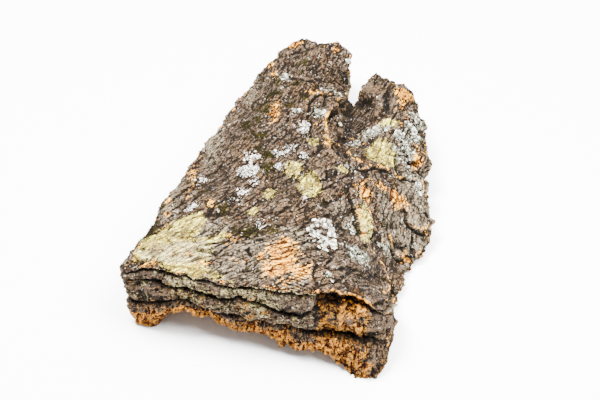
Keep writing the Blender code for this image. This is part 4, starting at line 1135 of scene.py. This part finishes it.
class Shader:
    """Short calls for building a material out of nodes."""

    def __init__(self, name):
        self.material = bpy.data.materials.new(name)
        self.material.use_nodes = True
        self.tree = self.material.node_tree
        self.surface = self.tree.nodes["Principled BSDF"]
        self.place = self.tree.nodes.new("ShaderNodeTexCoord").outputs["Object"]

    def node(self, kind, inputs, **settings):
        made = self.tree.nodes.new(kind)
        for name, value in settings.items():
            setattr(made, name, value)
        for key, value in inputs.items():
            if isinstance(value, bpy.types.NodeSocket):
                self.tree.links.new(value, made.inputs[key])
            else:
                made.inputs[key].default_value = value
        return made

    def mark(self, name):
        return self.node("ShaderNodeAttribute", {}, attribute_name=name).outputs["Fac"]

    def along_grain(self, stretch):
        """Places in the grain's own coordinates, drawn out along it."""
        grain = self.node("ShaderNodeAttribute", {}, attribute_name="grain").outputs["Vector"]
        scale = (1.0 / stretch, 1.0, 1.0)
        return self.node("ShaderNodeMapping", {"Vector": grain, "Scale": scale}).outputs[0]

    def noise(self, size_mm, detail=3.0, place=None):
        made = self.node("ShaderNodeTexNoise", {"Vector": place or self.place, "Scale": 1000.0 / size_mm,
                                                "Detail": detail, "Roughness": 0.65})
        return made.outputs["Fac"]

    def cracks(self, size_mm, width, place=None):
        """0 in the cracks between small grains and 1 on them."""
        inputs = {"Vector": place or self.place, "Scale": 1000.0 / size_mm}
        made = self.node("ShaderNodeTexVoronoi", inputs, feature="DISTANCE_TO_EDGE")
        return self.rise(made.outputs["Distance"], 0.0, width)

    def specks(self, size_mm, share, reach):
        """1 on spots in that share of small cells, and 0 elsewhere."""
        made = self.node("ShaderNodeTexVoronoi", {"Vector": self.place, "Scale": 1000.0 / size_mm})
        split = self.node("ShaderNodeSeparateColor", {"Color": made.outputs["Color"]})
        chosen = self.math("LESS_THAN", split.outputs["Red"], share)
        return self.math("MULTIPLY", chosen, self.math("LESS_THAN", made.outputs["Distance"], reach))

    def ribs(self, pitch_mm):
        """Waves from 0 to 1 along Y, which lean and wander a little."""
        parts = self.node("ShaderNodeSeparateXYZ", {"Vector": self.place})
        turn = 2 * math.pi * 1000.0 / pitch_mm
        leaning = self.math("MULTIPLY", parts.outputs["X"], 0.15 * turn)
        phase = self.math("ADD", self.math("MULTIPLY", parts.outputs["Y"], turn), leaning)
        phase = self.math("ADD", phase, self.math("MULTIPLY", self.noise(9.0), 9.0))
        return self.math("ADD", self.math("MULTIPLY", self.math("SINE", phase), 0.5), 0.5)

    def math(self, operation, a, b=0.0):
        return self.node("ShaderNodeMath", {0: a, 1: b}, operation=operation).outputs[0]

    def sum(self, *parts):
        """Sum of (value, weight) pairs, with each value counted from its middle of 0.5."""
        total = 0.5
        for value, weight in parts:
            share = self.math("MULTIPLY", self.math("SUBTRACT", value, 0.5), weight)
            total = self.math("ADD", share, total)
        return total

    def rise(self, value, low, high):
        """0 up to low, easing to 1 from high on."""
        made = self.node("ShaderNodeMapRange", {"Value": value, "From Min": low, "From Max": high},
                         interpolation_type="SMOOTHSTEP")
        return made.outputs["Result"]

    def mix(self, share, below, above):
        made = self.node("ShaderNodeMix", {0: share}, data_type="RGBA")
        for slot, value in ((6, below), (7, above)):
            if isinstance(value, bpy.types.NodeSocket):
                self.tree.links.new(value, made.inputs[slot])
            else:
                made.inputs[slot].default_value = value
        return made.outputs[2]

    def ramp(self, value, *stops):
        """A colour for each level of the value, as (level, colour) pairs."""
        made = self.node("ShaderNodeValToRGB", {"Fac": value})
        elements = made.color_ramp.elements
        for k, (level, colour) in enumerate(stops):
            element = elements[k] if k < 2 else elements.new(level)
            element.position = level
            element.color = colour
        return made.outputs["Color"]

    def coat(self, name, tone):
        """The colour of a coat at each level of the tone."""
        share, levels, *colours = COATS[name]
        return self.ramp(tone, *[(level, srgb(*colour, share)) for level, colour in zip(levels, colours)])

    def scaled(self, value, factor):
        return self.math("MULTIPLY", value, factor)

    def set_surface(self, **inputs):
        for name, value in inputs.items():
            socket = self.surface.inputs[name.replace("_", " ")]
            if isinstance(value, bpy.types.NodeSocket):
                self.tree.links.new(value, socket)
            else:
                socket.default_value = value


def bark_noises(s):
    """The noises that the tone, the covers and the relief of the bark share."""
    return {"fine": s.rise(s.noise(1.5), 0.34, 0.66), "grit": s.noise(0.7, 2.0),
            "blotch": s.noise(7.0, 4.0), "lines": s.rise(s.noise(1.7, 3.0, s.along_grain(6.0)), 0.36, 0.64),
            "cracks": s.cracks(3.2, 0.16, s.along_grain(2.6))}


def bark_tone(s, noises):
    """Light and dark of the bark: painted shade in the hollows and lighter, worn crests by the crest mark,
    with the bark's own grain, grit and blotches.
    """
    ribs = s.scaled(s.math("SUBTRACT", s.ribs(2.6), 0.5), s.mark("ribs"))
    ropes = s.noise(4.5, 3.0, s.along_grain(3.5))
    return s.sum((s.mark("crest"), 0.55), (noises["lines"], 0.3), (ropes, 0.42), (noises["fine"], 0.38),
                 (s.rise(noises["grit"], 0.35, 0.65), 0.2), (s.mark("shade"), 0.1),
                 (noises["blotch"], 0.4), (noises["cracks"], 0.28), (s.math("ADD", ribs, 0.5), 0.5))


def bark_coats(s, tone, blotch):
    """Colours of the bare bark and of what covers it."""
    warm_share = s.scaled(s.rise(s.noise(26.0), 0.46, 0.62), 0.45)
    calm = s.math("ADD", s.scaled(tone, 0.7), 0.17)
    muted_share = s.scaled(s.rise(s.math("ADD", s.mark("muted"), blotch), 0.95, 1.3), 0.8)
    coats = {name: s.coat(name, tone) for name in ("pale", "moss", "white", "leafy")}
    coats["bark"] = s.mix(warm_share, s.coat("bark", tone), s.coat("warm bark", tone))
    coats["bare"] = s.mix(s.mark("raw"), s.coat("pale cork", tone), s.coat("raw cork", tone))
    coats["yellow"] = s.mix(muted_share, s.coat("yellow", calm), s.coat("muted", tone))
    return coats


def bark_covers(s, noises):
    """How much of each cover there is, with a thin and patchy yellow one."""
    edges = {"ragged": s.sum((s.noise(5.0, 5.0), 1.2), (noises["fine"], 0.25)),
             "torn": s.sum((s.noise(9.0, 6.0), 2.6), (noises["fine"], 0.3), (noises["cracks"], 0.3)),
             "shreds": s.sum((s.noise(3.0, 5.0), 2.4), (noises["fine"], 0.4))}
    covers = {name: s.rise(s.math("ADD", s.mark(name), edges[edge]), low, high)
              for name, low, high, edge in COVERS}
    thin = s.rise(s.noise(10.0, 5.0), 0.5, 0.58)
    covers["yellow"] = s.scaled(covers["yellow"], s.math("SUBTRACT", 1.0, s.scaled(thin, 0.75)))
    return covers


def bark_material():
    """Weathered cork with bared cork, crusts and stains, told apart by the mesh's marks."""
    s = Shader("weathered_bark")
    noises = bark_noises(s)
    coats = bark_coats(s, bark_tone(s, noises), noises["blotch"])
    covers = bark_covers(s, noises)
    colour = coats["bark"]
    for name in ("pale", "yellow", "bare", "moss"):
        colour = s.mix(covers[name], colour, coats[name])
    for size, share, width, strength, speck in SPECKS:
        colour = s.mix(s.scaled(s.specks(size, share, width), strength), colour, srgb(*speck))
    dusty = s.scaled(s.rise(noises["blotch"], 0.5, 0.62), s.math("SUBTRACT", 0.75, s.mark("muted")))
    dust = s.scaled(s.specks(DUST_SIZE, DUST_SHARE, DUST_WIDTH), dusty)
    colour = s.mix(dust, colour, srgb(*DUST_COLOUR))
    for name in ("white", "leafy"):
        colour = s.mix(covers[name], colour, coats[name])
    # Painted shade in clefts, splits, pits and on the hollow side, with the torn edge's darkening, by the
    # dark mark.
    colour = s.mix(s.scaled(s.mark("dark"), 0.88), colour, srgb(*PAINTED_SHADE_COLOUR))
    depth = s.sum((noises["fine"], 0.0006), (noises["grit"], 0.0004), (noises["cracks"], 0.0005),
                  (noises["lines"], 0.0006), (covers["yellow"], 0.0004), (covers["white"], 0.0004),
                  (covers["leafy"], 0.0006))
    bump = s.node("ShaderNodeBump", {"Height": depth, "Distance": 1.0, "Strength": 1.0})
    s.set_surface(Base_Color=colour, Roughness=0.92, Specular_IOR_Level=SHINE, Normal=bump.outputs["Normal"])
    return s.material


def growth_material(name, coat):
    """Lichen or moss, in colours from the foot of each small leaf to its tip."""
    s = Shader(name)
    tone = s.sum((s.mark("tone"), 1.0), (s.noise(1.2), 0.7), (s.noise(6.0), 0.5))
    s.set_surface(Base_Color=s.coat(coat, tone), Roughness=0.9, Specular_IOR_Level=SHINE)
    return s.material


def plain_material(name, colour, roughness):
    s = Shader(name)
    s.set_surface(Base_Color=colour, Roughness=roughness)
    return s.material


def make_stage():
    """White floor under and behind the bark, and soft light."""
    mesh = bpy.data.meshes.new("floor")
    corners = [(FLOOR_HALF * x, FLOOR_HALF * y, 0) for x, y in ((-1, -1), (1, -1), (1, 1), (-1, 1))]
    mesh.from_pydata(corners, [], [(0, 1, 2, 3)])
    floor = bpy.data.objects.new("floor", mesh)
    bpy.context.scene.collection.objects.link(floor)
    floor.location.z = -FLOOR_DROP
    floor.data.materials.append(plain_material("pale_floor", (FLOOR_GREY, FLOOR_GREY, FLOOR_GREY, 1), 0.9))
    world = bpy.data.worlds.new("studio")
    bpy.context.scene.world = world
    world.use_nodes = True
    background = world.node_tree.nodes["Background"]
    background.inputs["Color"].default_value = (1, 1, 1, 1)
    background.inputs["Strength"].default_value = WORLD_STRENGTH
    for name, place, size, power in LAMPS:
        light = bpy.data.lights.new(name, "AREA")
        light.shape = "DISK"
        light.size = size
        light.energy = power
        lamp = bpy.data.objects.new(name, light)
        bpy.context.scene.collection.objects.link(lamp)
        lamp.location = place
        lamp.rotation_euler = Vector(place).to_track_quat("Z", "Y").to_euler()


def make_camera():
    """Camera at the photograph's viewing angle."""
    bearing, height = math.radians(CAMERA_BEARING), math.radians(CAMERA_HEIGHT)
    back = Vector((math.sin(bearing) * math.cos(height), -math.cos(bearing) * math.cos(height),
                   math.sin(height)))
    data = bpy.data.cameras.new("camera")
    data.lens = CAMERA_LENS
    data.sensor_width = SENSOR_WIDTH
    camera = bpy.data.objects.new("camera", data)
    bpy.context.scene.collection.objects.link(camera)
    camera.location = Vector(CAMERA_TARGET) + CAMERA_DISTANCE * back
    camera.rotation_euler = back.to_track_quat("Z", "Y").to_euler()
    bpy.context.scene.camera = camera


make_camera()
make_stage()
bark = bark_material()
upper_mesh, lower_mesh, lobe_mesh, white_mesh, moss_mesh, crumb_mesh = bark_meshes()
bark_face = link("bark_face", upper_mesh, bark)
link("bark_edge", lower_mesh, bark)
link("lichen_lobes", lobe_mesh, growth_material("leafy_lichen", "leafy_lichen"))
link("white_crust", white_mesh, growth_material("white_lichen", "white_lichen"))
link("moss", moss_mesh, growth_material("moss", "moss tips"))
link("cork_crumbs", crumb_mesh, bark)
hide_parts("bark")
